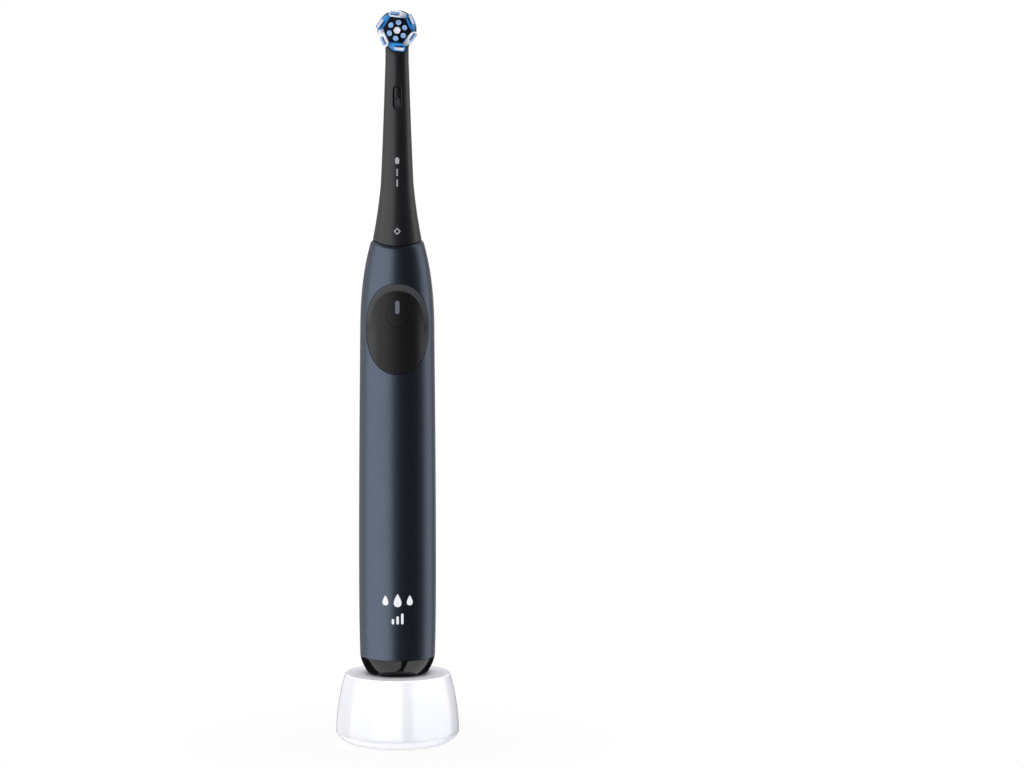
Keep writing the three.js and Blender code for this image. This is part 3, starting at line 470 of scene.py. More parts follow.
def makeCharger():
    c = charger
    low, rim, post = c["parting"] + 0.1, c["rim"], c["postRadius"]
    side = chargerSide(0, low + 0.15, c["height"] - rim)
    postTop = c["height"] + c["postHeight"]
    profile = [
        (c["waist"] - c["wall"], low), (c["waist"] - 0.2, low), (c["waist"] - 0.05, low + 0.05), *side,
        *corner(c["top"] - rim, c["height"] - rim, rim, 12, 90, 6),
        (c["top"] - 1.6, c["height"]), (c["top"] - 2.0, c["height"] - 0.06),
        (post + 1.0, c["height"] - 0.06), (post + 0.25, c["height"] - 0.02), (post, c["height"] + 0.35),
        (post, postTop - 0.9), *corner(post - 0.9, postTop - 0.9, 0.9, 0, 90, 5), (0, postTop),
        (0, postTop - 1.2), (post - 1.2, postTop - 1.2), (post - 1.2, c["height"] - c["wall"]),
        *chargerSide(c["wall"], low, c["height"] - c["wall"], 8)[::-1],
    ]
    housing = spun(profile, 144)
    at = c["glandHeight"]
    seat, recessRadius, boreRadius = c["glandSeat"], c["flangeRadius"] + 0.2, c["glandRadius"] + 0.1
    recess = spunAlongY([(0, seat), (recessRadius, seat), (recessRadius, 25), (0, 25)], 64, height=at)
    bore = spunAlongY([(0, 14), (boreRadius, 14), (boreRadius, 23), (0, 23)], 64, height=at)
    finishPiece("charger_housing_skin", cut(housing, [recess, bore]), "white_gloss", "charger",
                ["charger_housing"])

    base = [
        (0, 0.45), (10.6, 0.45), (10.88, 0.6), (10.88, 1.2), (16.62, 1.2), (16.62, 0.6), (16.9, 0.42),
        (c["foot"] - 0.3, 0.42),
        *bow((c["foot"], 0.5), (21.4, 1.8), (c["waist"] - 0.04, c["parting"] - 0.12), 10),
        (c["waist"] - 0.18, c["parting"] - 0.02), (20.1, c["parting"] - 0.02), (20.1, 6.1), (18.9, 6.1),
        (18.9, 2.6), (0, 2.6),
    ]
    finishPiece("charger_base_skin", spun(base, 144), "white_gloss", "charger",
                ["charger_base"])
    pad = [(11.05, 1.05), (11.05, 0.25), (11.3, 0.02), (11.7, 0.0), (12.9, 0.0), (13.2, 0.18), (14.3, 0.18),
           (14.6, 0.0), (15.8, 0.0), (16.2, 0.02), (16.45, 0.25), (16.45, 1.05)]
    finishPiece("foot_pad_ring", spun(pad, 144, closed=True), "soft_grey", "charger",
                ["charger_foot_pad"])
    gland = [(1.6, 16.4), (c["glandRadius"], 16.4), (c["glandRadius"], 21.5), (3.72, 21.5), (3.78, 21.6),
             (3.78, 21.95), (3.62, 22.15), (2.6, 22.26), (2.3, 22.1), (1.75, 22.1), (1.6, 21.9)]
    finishPiece("cord_gland_bush", spunAlongY(gland, 72, height=at, closed=True), "soft_grey",
                "charger", ["cord_gland"])
    print("charger made")


makeCharger()


handle = {
    "top": 158.0, "wall": 1.3, "sag": 1.8, "rim": 9.3, "chamfer": 1.0, "drapeStart": 147.0,
    "noseHole": 4.92, "roof": 154.6, "sides": 160,
}
skin = (curve([(13.62, 6.2), (13.848, 12.48), (14.0, 21.9), (14.0, 37.6)], 10)
        + curve([(14.0, 37.6), (14.0, 73.4), (13.68, 100.2), (13.42, 127.0)], 24)[1:]
        + curve([(13.42, 127.0), (13.30, 136.0), (12.6, 147.15), (9.3, 158.0)], 30)[1:])
seamRadius = (handle["rim"] ** 2 + handle["sag"] ** 2) / (2 * handle["sag"])
seamCentre = handle["top"] - handle["sag"] + seamRadius


def seamHeight(x, gap=0.0):
    return seamCentre - math.sqrt(max((seamRadius - gap) ** 2 - x * x, 0))


# Lets the upper rows of the shell follow the curved joint, with each point kept on the handle's skin.
def drape(shape, lift):
    for vert in shape.verts:
        x, y, z = vert.co / mm
        z -= lift
        radius = math.hypot(x, y)
        if z < handle["drapeStart"] or radius < handle["noseHole"] - 0.1:
            continue
        inside = radius < skinRadius(z) - 0.9
        if inside and (z > handle["top"] - 0.001 or z < handle["top"] - 1.5):  # the land under the brush head
            vert.co.z = (seamHeight(x) + lift) * mm if z > handle["roof"] + 0.1 else vert.co.z
            continue
        inset = skinRadius(z) - radius
        share = (z - handle["drapeStart"]) / (handle["top"] - handle["drapeStart"])
        for _ in range(6):
            fall = handle["top"] - seamHeight(x)
            height = z - share * fall
            newRadius = skinRadius(height) - inset
            x, y = x * newRadius / math.hypot(x, y), y * newRadius / math.hypot(x, y)
        vert.co = Vector((x, y, height + lift)) * mm


def skinRadius(height):
    return radiusAt(skin, height)


def onSkin(x, height, depth, surfaceRadius=skinRadius):
    radius = surfaceRadius(height) - depth
    return (x, -math.sqrt(max(radius * radius - x * x, 0.01)), height + handleFoot)


panel = {
    "centre": 126.8, "halfWidth": 11.26, "halfHeight": 16.3, "squareness": 2.3, "sideBorder": 1.75,
    "topBorder": 2.75, "depth": 0.85, "buttonHeight": 131.6, "buttonRadius": 5.93, "steps": 128,
}


def ovalPoint(turn, inset, insetHigh=None):
    power = 2 / panel["squareness"]
    c, s = math.cos(turn), math.sin(turn)
    x = (panel["halfWidth"] - inset) * math.copysign(abs(c) ** power, c)
    insetZ = inset if insetHigh is None else insetHigh
    z = (panel["halfHeight"] - insetZ) * math.copysign(abs(s) ** power, s)
    return x, panel["centre"] + z


def ovalRing(inset, depth):
    return [onSkin(*ovalPoint(t, inset), depth) for t in turnsOf(panel["steps"])]


# How deep the thumb recess is at a height: full at its top, level with the handle below its middle.
def recessDepth(height):
    return panel["depth"] * smoothStep(panel["centre"] - 9, panel["centre"] + 9, height)


def makeHandle():
    h = handle
    rows = [p for p in skin if p[1] < h["top"] - h["chamfer"] - 0.12]
    edge = h["top"] - h["chamfer"]
    inner = [(r - h["wall"], z) for r, z in skin if z < h["roof"] - 0.4]
    profile = [
        (skinRadius(6.2) - h["wall"], 6.2), (skinRadius(6.2) - 0.14, 6.2), (skinRadius(6.3) - 0.04, 6.24),
        (skinRadius(6.5), 6.34), *rows[1:],
        (skinRadius(edge - 0.06), edge - 0.06), (skinRadius(edge) - 0.02, edge),
        (skinRadius(edge) - 0.07, edge + 0.07),
        (h["rim"] - 0.4, h["top"] - 0.08), (h["rim"] - 0.46, h["top"] - 0.02), (h["rim"] - 0.56, h["top"]),
        (7.2, h["top"]), (6.0, h["top"]),
        (h["noseHole"] + 0.02, h["top"]), (h["noseHole"], h["roof"]), *inner[::-1],
    ]
    shell = spun(profile, h["sides"], handleFoot, closed=True)
    drape(shell, handleFoot)
    opening = stacked([
        [(x, -20, z) for x, _, z in ovalRing(0, 0)], ovalRing(-0.1, -0.4), ovalRing(-0.1, -0.01),
        ovalRing(-0.03, 0.02),
        ovalRing(0, 0.1), ovalRing(0, 0.84), ovalRing(1.1, 0.84), ovalRing(1.1, 3.0),
        [(x * 0.01, -6, panel["centre"] + handleFoot + (z - panel["centre"] - handleFoot) * 0.01)
         for x, _, z in ovalRing(0, 0)],
    ])
    bmesh.ops.holes_fill(opening, edges=opening.edges[:], sides=0)
    bmesh.ops.recalc_face_normals(opening, faces=opening.faces[:])
    finishPiece("handle_skin", cut(shell, [opening]), "navy_metallic", "handle",
                ["handle_shell"], weighted=True)

    foot = [
        (5.2, 0.25), (5.45, 0.0), (10.2, 0.0), (10.6, 0.06), (10.86, 0.24),
        *curve([(11.02, 0.45), (11.9, 1.55), (13.12, 3.8), (13.46, 5.8)], 14),
        (13.46, 6.08), (12.2, 6.1), (12.2, 9.0), (11.1, 9.0), (11.1, 10.6), (12.2, 10.6), (12.2, 13.2),
        (10.0, 13.2), (10.0, 2.2), (6.3, 2.2), (6.3, 12.6), (5.7, 13.2), (0, 13.2), (0, 12.1), (5.2, 12.1),
    ]
    finishPiece("base_cap_skin", spun(foot, h["sides"], handleFoot), "black_gloss",
                "handle", ["base_cap"])
    print("handle made")


makeHandle()


def buttonRing(radius, extra, front=True):
    points = [(radius * math.cos(t), panel["buttonHeight"] + radius * math.sin(t))
              for t in turnsOf(panel["steps"])]
    return [onSkin(x, z, extra + (recessDepth(z) if front else 0)) for x, z in points]


def makePanel():
    p = panel
    turns = turnsOf(p["steps"])
    hole = p["buttonRadius"] + 0.025
    rings = [buttonRing(hole, 1.35, False), ovalRing(1.22, 1.35), ovalRing(1.22, 0.8), ovalRing(0.08, 0.8),
             ovalRing(0.08, 0.2), ovalRing(0.11, 0.1), ovalRing(0.19, 0.02), ovalRing(0.3, 0.0)]
    bandSteps = 7
    for i in range(bandSteps + 1):
        share = i / bandSteps
        ring = []
        for t in turns:
            x, z = ovalPoint(t, 0.36 + (p["sideBorder"] - 0.36) * share,
                             0.36 + (p["topBorder"] - 0.36) * share)
            ring.append(onSkin(x, z, recessDepth(z) * share ** 1.15))
        rings.append(ring)
    fieldSteps = 18
    for i in range(1, fieldSteps + 1):
        share = i / fieldSteps
        ring = []
        for t in turns:
            x0, z0 = ovalPoint(t, p["sideBorder"], p["topBorder"])
            x1, z1 = (hole + 0.05) * math.cos(t), p["buttonHeight"] + (hole + 0.05) * math.sin(t)
            x, z = x0 + (x1 - x0) * share, z0 + (z1 - z0) * share
            ring.append(onSkin(x, z, recessDepth(z)))
        rings.append(ring)
    rings += [buttonRing(hole + 0.01, 0.004), buttonRing(hole, 0.02), buttonRing(hole, 1.35, False)]
    shape = stacked(rings)
    # Painted highlight: the border band is lighter towards the top, and the sides of the recess are lighter
    # towards the bottom.
    painted_panel_highlight = shape.verts.layers.float.new("painted_panel_highlight")
    for vert in shape.verts:
        x, z = vert.co.x / mm, vert.co.z / mm - handleFoot
        spread = abs(x / (p["halfWidth"] - p["sideBorder"])) ** p["squareness"]
        rise = abs((z - p["centre"]) / (p["halfHeight"] - p["topBorder"])) ** p["squareness"]
        inBand = 1.0 if spread + rise > 1.004 else 0.0
        fade = smoothStep(p["centre"] - 5, p["centre"] + 7, z)
        sides = smoothStep(0.35, 1.0, spread) * 0.55
        vert[painted_panel_highlight] = max(inBand * fade, sides * (1 - fade * 0.6))
    finishPiece("thumb_panel", shape, "dark_rubber", "handle", ["control_panel"],
                angle=math.radians(14))
    print("thumb panel made")


makePanel()


def pillPoint(turn, width, height, middle):
    half = width / 2
    straight = height / 2 - half
    return half * math.cos(turn), middle + half * math.sin(turn) + math.copysign(straight, math.sin(turn))


windowShape = {"width": 1.65, "height": 4.8, "middle": 134.6, "dots": 28, "dotRing": 4.0, "dotRadius": 0.21,
               "dotTurnRadius": 13.4}


def pillRing(width, height, middle, depth, recessed=True, surfaceRadius=skinRadius, count=None):
    ring = []
    for t in turnsOf(count or panel["steps"], 0.5):
        x, z = pillPoint(t, width, height, middle)
        ring.append(onSkin(x, z, depth + (recessDepth(z) if recessed else 0), surfaceRadius))
    return ring


def makeButton():
    w, radius = windowShape, panel["buttonRadius"]
    size = (w["width"] + 0.16, w["height"] + 0.16)

    def between(share, depth, recessed=True):
        ring = []
        for t in turnsOf(panel["steps"], 0.5):
            x0, z0 = pillPoint(t, size[0], size[1], w["middle"])
            x1, z1 = (radius - 0.05) * math.cos(t), panel["buttonHeight"] + (radius - 0.05) * math.sin(t)
            x, z = x0 + (x1 - x0) * share, z0 + (z1 - z0) * share
            ring.append(onSkin(x, z, depth + (recessDepth(z) if recessed else 0)))
        return ring

    def edge(grow, depth, recessed=True):
        ring = []
        for t in turnsOf(panel["steps"], 0.5):
            x, z = (radius + grow) * math.cos(t), panel["buttonHeight"] + (radius + grow) * math.sin(t)
            ring.append(onSkin(x, z, depth + (recessDepth(z) if recessed else 0)))
        return ring

    # The flange's back stops short of the board at full press.
    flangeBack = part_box("main_board")[0].y / mm - 0.5

    def clear(ring):
        return [(x, min(y, flangeBack), z) for x, y, z in ring]

    rings = [between(0, 0.9), between(0, 0.08), *[between(i / 10, 0.0) for i in range(11)],
             edge(-0.01, 0.004), edge(0, 0.02), edge(0, 1.6, False), edge(0.7, 1.6, False),
             clear(edge(0.7, 2.2, False)), clear(between(0, 2.2, False)), between(0, 0.9)]
    cap = stacked(rings)
    stemFoot, stemTip = -10.6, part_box("power_button")[1].y / mm
    stem = spunAlongY([(0, stemFoot), (1.0, stemFoot), (1.0, stemTip - 0.1), (0.9, stemTip), (0, stemTip)],
                      32, height=panel["buttonHeight"] + handleFoot)
    addTo(cap, stem)
    # The button shares the panel material, with its painted highlight left at zero.
    cap.verts.layers.float.new("painted_panel_highlight")
    finishPiece("power_button_cap", cap, "dark_rubber", "power_button", ["power_button"])

    def lens(shrink, depth):
        return pillRing(w["width"] - 2 * shrink, w["height"] - 2 * shrink, w["middle"], depth, count=64)

    middle = [onSkin(0, w["middle"], recessDepth(w["middle"]) - 0.03)] * 64
    glass = stacked([[onSkin(0, w["middle"], 2.0)] * 64, lens(0, 1.4), lens(0, 0.08), lens(0.06, 0.0),
                     lens(0.4, -0.03), middle])
    finishPiece("light_window", glass, "milky_window", "power_button",
                ["button_light_window"])

    dots = bmesh.new()
    gapAngle = math.radians(45)
    for i in range(w["dots"]):
        turn = math.pi / 2 + gapAngle + (2 * math.pi - 2 * gapAngle) * i / (w["dots"] - 1)
        x, z = w["dotRing"] * math.cos(turn), panel["buttonHeight"] + w["dotRing"] * math.sin(turn)
        place = Vector(onSkin(x, z, recessDepth(z) + 0.02)) * mm
        made = bmesh.ops.create_uvsphere(dots, u_segments=10, v_segments=6,
                                         radius=w["dotRadius"] * mm)["verts"]
        bmesh.ops.scale(dots, verts=made, vec=(1, 0.35, 1))
        aside = Matrix.Rotation(math.asin(x / w["dotTurnRadius"]), 3, "Z")
        bmesh.ops.rotate(dots, verts=made, cent=(0, 0, 0), matrix=aside)
        bmesh.ops.translate(dots, verts=made, vec=place)
    finishPiece("button_dots", dots, "dark_rubber", "power_button", material=printBlack)
    print("button made")


makeButton()


brush = {
    "tip": 222.5, "cupRadius": 6.6, "cupFront": 3.2, "cupBack": 4.2, "wall": 1.2, "seamGap": 0.2,
    "slotWidth": 2.8, "slotHeight": 8.0, "slotDrop": 24.3, "rimRadius": 8.85, "pocketWall": 1.1,
    "fillet": 2.4, "crown": 0.55, "mergeStart": 9.5, "mergeEnd": 4.6, "cupOnly": 3.5, "frontSwell": 1.2,
}
neckSkin = (curve([(brush["rimRadius"], handle["top"]), (7.46, 164.97), (6.40, 172.56), (5.9, 178.5)], 20)
            + curve([(5.9, 178.5), (5.305, 190.4), (4.74, 206.2), (4.2, 222.5)], 24)[1:])


def neckRadius(height):
    return radiusAt(neckSkin, height)


# One section of the neck and cup: half width, depth to the front and to the back, and how square it is.
def section(height):
    b = brush
    rise = height - headHeight
    inCup = max(b["cupRadius"] ** 2 - rise ** 2, 0) ** 0.5
    merge = smoothStep(headHeight - b["mergeStart"], headHeight - b["mergeEnd"], height)
    tube = neckRadius(min(height, b["tip"]))
    fillet, crown = b["fillet"], b["crown"]
    gap = abs(tube - inCup)
    width = max(tube, inCup) + (max(fillet - gap, 0) ** 2 / (4 * fillet) if height < headHeight else 0)
    if rise > -b["cupOnly"]:
        width = inCup
    topRound = max(0, rise - (b["cupRadius"] - crown)) / crown
    ease = crown * (1 - math.sqrt(max(1 - topRound * topRound, 0)))
    front = tube + (b["cupFront"] - tube) * merge
    back = tube + (b["cupBack"] - tube) * merge
    return width, front + b["frontSwell"] * merge, back - ease, 2 + 5 * merge


def makeNeck():
    b = brush
    heights = [z for _, z in neckSkin if z > 159.5]
    top = handle["top"]
    lower = [(top, -0.42), (158.02, -0.2), (158.16, -0.05), (158.42, 0.0), (159.2, 0.0)]
    upper = [b["tip"] + i * (headHeight - b["tip"]) / 16 for i in range(1, 17)]
    upper += [headHeight + b["cupRadius"] * math.sin(math.pi / 2 * i / 22) for i in range(1, 23)]
    count = 144
    turns = turnsOf(count)
    rings = [[(0, 0, 160 + handleFoot)] * count]
    for z, inset in lower:
        ring = []
        for t in turns:
            radius = neckRadius(z) + inset
            height = z
            for _ in range(6):
                x = radius * math.cos(t)
                height = z - (top - seamHeight(x, b["seamGap"])) * (1 if z < 159 else 0.5)
                below = b["rimRadius"] + (top - height) * 0.2
                radius = (neckRadius(height) if height > top else below) + inset
            ring.append((radius * math.cos(t), radius * math.sin(t), height + handleFoot))
        rings.append(ring)
    for z in heights + upper:
        width, front, back, square = section(z)
        ring = []
        for t in turns:
            c, s = math.cos(t), math.sin(t)
            x = width * math.copysign(abs(c) ** (2 / square), c)
            depth = back if s > 0 else front
            ring.append((x, depth * math.copysign(abs(s) ** (2 / square), s), z + handleFoot))
        rings.append(ring)
    neck = stacked(rings)
    bmesh.ops.holes_fill(neck, edges=neck.edges[:], sides=0)
    bmesh.ops.recalc_face_normals(neck, faces=neck.faces[:])
    inside = [(0, 150), (neckSkin[0][0] - b["wall"], 150)] + [(r - b["wall"], z) for r, z in neckSkin[::3]]
    bore = spun(inside + [(3.0, b["tip"]), (3.4, headHeight), (0, headHeight)], 72, handleFoot)
    middle = headHeight + handleFoot
    pocketRadius = b["cupRadius"] - b["pocketWall"]
    pocket = spunAlongY([(0, -12), (7.3, -12), (7.3, -b["cupFront"]), (pocketRadius + 0.12, -b["cupFront"]),
                         (pocketRadius, -b["cupFront"] + 0.12), (pocketRadius, 3.1), (0, 3.1)],
                        96, height=middle)
    slotMiddle = headHeight - b["slotDrop"]

    def slotRing(grow, depth):
        return pillRing(b["slotWidth"] + 2 * grow, b["slotHeight"] + 2 * grow, slotMiddle, depth,
                        False, neckRadius, 64)

    slot = stacked([[onSkin(0, slotMiddle, -1, neckRadius)] * 64, slotRing(0.3, -1), slotRing(0.3, -0.02),
                    slotRing(0.14, 0.04), slotRing(0.04, 0.14), slotRing(0, 0.3), slotRing(0, 3.2),
                    [onSkin(0, slotMiddle, 3.3, neckRadius)] * 64])
    axleHole = spunAlongY([(0, 1), (0.86, 1), (0.86, 6), (0, 6)], 32, height=middle)
    finishPiece("neck_and_cup", cut(neck, [bore, pocket, slot, axleHole]), "black_satin", "brush_head",
                ["neck_shell"], weighted=True)

    centreHeight = slotMiddle + b["slotHeight"] / 4 - 0.2

    def tongueRing(shrink, depth):
        height = b["slotHeight"] / 2 + 0.2
        return pillRing(b["slotWidth"] - 0.4 - 2 * shrink, height - 2 * shrink, centreHeight, depth,
                        False, neckRadius, 48)

    tongue = stacked([[onSkin(0, centreHeight, 1.3, neckRadius)] * 48, tongueRing(0, 1.3),
                      tongueRing(0, 0.85), tongueRing(0.05, 0.75), tongueRing(0.15, 0.7),
                      tongueRing(0.6, 0.68),
                      [onSkin(0, centreHeight, 0.68, neckRadius)] * 48])
    finishPiece("slot_tongue", tongue, "black_satin", "brush_head")
    print("neck made")


makeNeck()


# A printed mark: a thin closed skin over an outline, or a line along it when a stroke is given.
def printed(shape, outline, surfaceRadius, stroke=0.0):
    midX = sum(x for x, _ in outline) / len(outline)
    midZ = sum(z for _, z in outline) / len(outline)

    def ring(share, depth):
        return [onSkin(midX + (x - midX) * share, midZ + (z - midZ) * share, depth, surfaceRadius)
                for x, z in outline]

    if stroke:
        reach = max(math.hypot(x - midX, z - midZ) for x, z in outline)
        inner = 1 - stroke / reach
        mark = stacked([ring(inner, 0.05), ring(1, 0.05), ring(1, -0.015), ring(0.97, -0.02),
                        ring(inner + 0.03, -0.02), ring(inner, -0.015), ring(inner, 0.05)])
    else:
        mark = stacked([ring(0, 0.05), ring(1, 0.05), ring(1, -0.015), ring(0.94, -0.02), ring(0.5, -0.02),
                        ring(0, -0.02)])
    addTo(shape, mark)


marks = {
    "dropHeight": 54.1 - handleFoot, "dropSizes": ((-4.4, 2.6, 3.6), (0, 3.4, 4.7), (4.4, 2.6, 3.6)),
    "barFoot": 45.4 - handleFoot, "bars": ((-1.7, 2.0), (0, 3.0), (1.7, 4.0)), "barWidth": 0.9,
    "diamondHeight": 187.4 - handleFoot, "diamond": 1.25,
    "dashes": ((212.6, 3.0, 2.4), (208.4, 1.0, 2.6), (204.6, 1.0, 2.6)),
}


def dropOutline(x, middle, width, height, count=40):
    points = []
    for turn in turnsOf(count, 0.5):
        narrowing = 1 - 0.5 * (1 + math.sin(turn))  # widest low down, pointed at the top
        points.append((x + width / 2 * math.cos(turn) * (0.3 + 0.85 * narrowing),
                       middle + height / 2 * math.sin(turn)))
    return points


def makeMarks():
    m = marks
    front = bmesh.new()
    for x, width, height in m["dropSizes"]:
        printed(front, dropOutline(x, m["dropHeight"], width, height), skinRadius)
    turns = turnsOf(24, 0.5)
    for x, height in m["bars"]:
        pill = [pillPoint(t, m["barWidth"], height, m["barFoot"] + height / 2) for t in turns]
        printed(front, [(x + px, pz) for px, pz in pill], skinRadius)
    finishPiece("handle_marks", front, "white_gloss", "handle", material=printWhite)

    neck = bmesh.new()
    size, middle = m["diamond"], m["diamondHeight"]
    ends = [(size, 0), (0, size), (-size, 0), (0, -size)]
    diamond = [(a[0] + (b[0] - a[0]) * i / 6, middle + a[1] + (b[1] - a[1]) * i / 6)
               for a, b in zip(ends, ends[1:] + ends[:1]) for i in range(6)]
    printed(neck, diamond, neckRadius, stroke=0.5)
    for height, width, length in m["dashes"]:
        printed(neck, [pillPoint(t, width * 0.5, length, height - handleFoot) for t in turns], neckRadius)
    finishPiece("neck_marks", neck, "soft_grey", "brush_head", material=printGrey)
    print("marks made")


makeMarks()


random.seed(7)
tufts = {
    "count": 6, "filament": 0.105, "pitch": 0.215, "rowShare": 0.866, "root": 0.64,
    "scatter": 0.02, "tipScatter": 0.03, "tipUneven": 0.05,
    "centre": {"ring": 0, "radius": 1.25, "straight": 0, "length": 7, "angle": 0, "lean": 0,
               "tipRing": 0, "flare": (1.02, 1.02)},
    "inner": {"ring": 2.85, "radius": 0.95, "straight": 0, "length": 7, "angle": 82, "lean": 10,
              "tipRing": 2.9, "flare": (1.02, 1.02)},
    "outer": {"ring": 5.3, "radius": 1.02, "straight": 1.2, "length": 8.4, "angle": 98, "lean": 26,
              "tipRing": 6.2, "flare": (1.04, 1.42)},
}
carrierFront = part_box("bristle_carrier")[0].y / mm


def makeFilament():
    shape = bmesh.new()
    loop = bmesh.ops.create_circle(shape, segments=6, radius=1)["verts"]
    edges = shape.edges[:]
    for height, size in ((0.3, 1), (0.62, 1), (0.9, 1), (0.985, 0.82), (1.0, 0.4)):
        made = bmesh.ops.extrude_edge_only(shape, edges=edges)["geom"]
        loop = [g for g in made if isinstance(g, bmesh.types.BMVert)]
        edges = [g for g in made if isinstance(g, bmesh.types.BMEdge)
                 and all(v in loop for v in g.verts)]
        for vert in loop:
            flat = Vector((vert.co.x, vert.co.y, 0)).normalized() * size
            vert.co = Vector((flat.x, flat.y, height))
    bmesh.ops.contextual_create(shape, geom=edges)
    bmesh.ops.recalc_face_normals(shape, faces=shape.faces[:])
    return meshOf(shape, "filament")


filamentMesh = makeFilament()


def makeTuft(name, kind, index, slot, core):
    facts = tufts[kind]
    tip = math.radians(facts["angle"] - 360 / tufts["count"] * index)
    base = tip - math.radians(facts["lean"])
    facing = (tip + base) / 2
    outward = Vector((math.cos(facing), 0, math.sin(facing)))
    along = Vector((-math.sin(facing), 0, math.cos(facing)))
    middle = Vector((0, 0, headHeight + handleFoot))
    startCentre = middle + Vector((math.cos(base), 0, math.sin(base))) * facts["ring"]
    endCentre = middle + Vector((math.cos(tip), 0, math.sin(tip))) * facts["tipRing"]
    startCentre.y, endCentre.y = carrierFront + tufts["root"], carrierFront - facts["length"]
    scatter, tipScatter, tipUneven = tufts["scatter"], tufts["tipScatter"], tufts["tipUneven"]
    shape = bmesh.new()
    coreLayer = shape.verts.layers.float.new("core")
    alongLayer = shape.verts.layers.float.new("along")
    radius, straight, pitch, thick = facts["radius"], facts["straight"], tufts["pitch"], tufts["filament"]
    rowsAcross = int(radius / (pitch * tufts["rowShare"])) + 1
    columns = int((radius + straight) / pitch) + 2
    for row in range(-rowsAcross, rowsAcross + 1):
        for column in range(-columns, columns + 1):
            s = (column + (row % 2) / 2) * pitch + random.uniform(-scatter, scatter)
            t = row * pitch * tufts["rowShare"] + random.uniform(-scatter, scatter)
            reach = math.hypot(max(abs(s) - straight, 0), t)
            if reach > radius - thick:
                continue
            tone, shorten = core(s, t, reach)
            start = startCentre + along * s + outward * t
            end = endCentre + along * s * facts["flare"][0] + outward * t * facts["flare"][1]
            end += Vector((random.uniform(-tipScatter, tipScatter),
                           shorten + random.uniform(-tipUneven, tipUneven),
                           random.uniform(-tipScatter, tipScatter)))
            first = len(shape.verts)
            shape.from_mesh(filamentMesh)
            shape.verts.ensure_lookup_table()
            lean = end - start
            for vert in shape.verts[first:]:
                share = vert.co.z
                centre = start + lean * share
                vert[coreLayer], vert[alongLayer] = tone, share
                vert.co = (centre + Vector((vert.co.x * thick, 0, vert.co.y * thick))) * mm
    bmesh.ops.recalc_face_normals(shape, faces=shape.faces[:])
    finishPiece(name, shape, slot, "bristle_head", [name.replace("_bristles", "")], angle=math.radians(60))


# The tone and shortening of a filament by its place in its tuft.
def plainCore(s, t, reach):
    return 0.0, 0.0


def whiteCore(s, t, reach):
    if reach > 0.5:
        return 0.0, 0.0
    return (1.0, 0.35) if -0.42 < t < -0.05 and abs(s) < 1.35 and abs(s - 0.35) > 0.12 else (0.5, 0.25)


def blueCore(s, t, reach):
    if reach < 0.6 and t > -0.12:
        return 0.5, 0.2
    return (1.0, 0.1) if t > -0.55 and abs(s) < 1.5 and t < 0 else (0.0, 0.0)


def roundCore(s, t, reach):
    return (0.5, 0.1) if reach < 0.3 else (0.0, 0.0)


def makeBristles():
    makeTuft("center_tuft_bristles", "centre", 0, "white_bristle", plainCore)
    for i in range(tufts["count"]):
        slot, core = ("blue_bristle", blueCore) if i % 2 else ("white_bristle", whiteCore)
        makeTuft(f"inner_tuft_{i + 1}_bristles", "inner", i, "pale_blue_bristle", roundCore)
        makeTuft(f"outer_tuft_{i + 1}_bristles", "outer", i, slot, core)
    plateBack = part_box("bristle_carrier")[0].y / mm + 1.7
    front = carrierFront
    plate = spunAlongY([
        (0, front + 0.7), (0.85, front + 0.7), (0.85, front + 0.75), (0.88, plateBack + 0.6),
        (1.5, plateBack + 0.6), (1.5, plateBack), (6.6, plateBack), (6.95, plateBack - 0.2),
        (7.0, plateBack - 0.45), (7.0, front + 0.5), (6.85, front + 0.15), (6.5, front + 0.02),
        (1.3, front), (1.0, front + 0.05), (0, front + 0.05)], 96, height=headHeight + handleFoot)
    crankPin = spunAlongY([(0, plateBack - 0.2), (0.6, plateBack - 0.2), (0.6, plateBack + 3.2),
                           (0.5, plateBack + 3.3), (0, plateBack + 3.3)],
                          32, x=2.6, height=headHeight + handleFoot)
    addTo(plate, crankPin)
    finishPiece("bristle_plate", plate, "black_satin", "bristle_head", ["bristle_carrier"])
    print("bristles made")


makeBristles()


def limits(name):
    low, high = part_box(name)
    return (high.x - low.x) / 2 / mm, low.z / mm, high.z / mm


innards = {"grooveFoot": 4.2, "grooveTop": 3.0, "grooveEdge": 0.2, "grooveDepth": 0.25,
           "sealGap": 0.12, "rodEdge": 0.12}


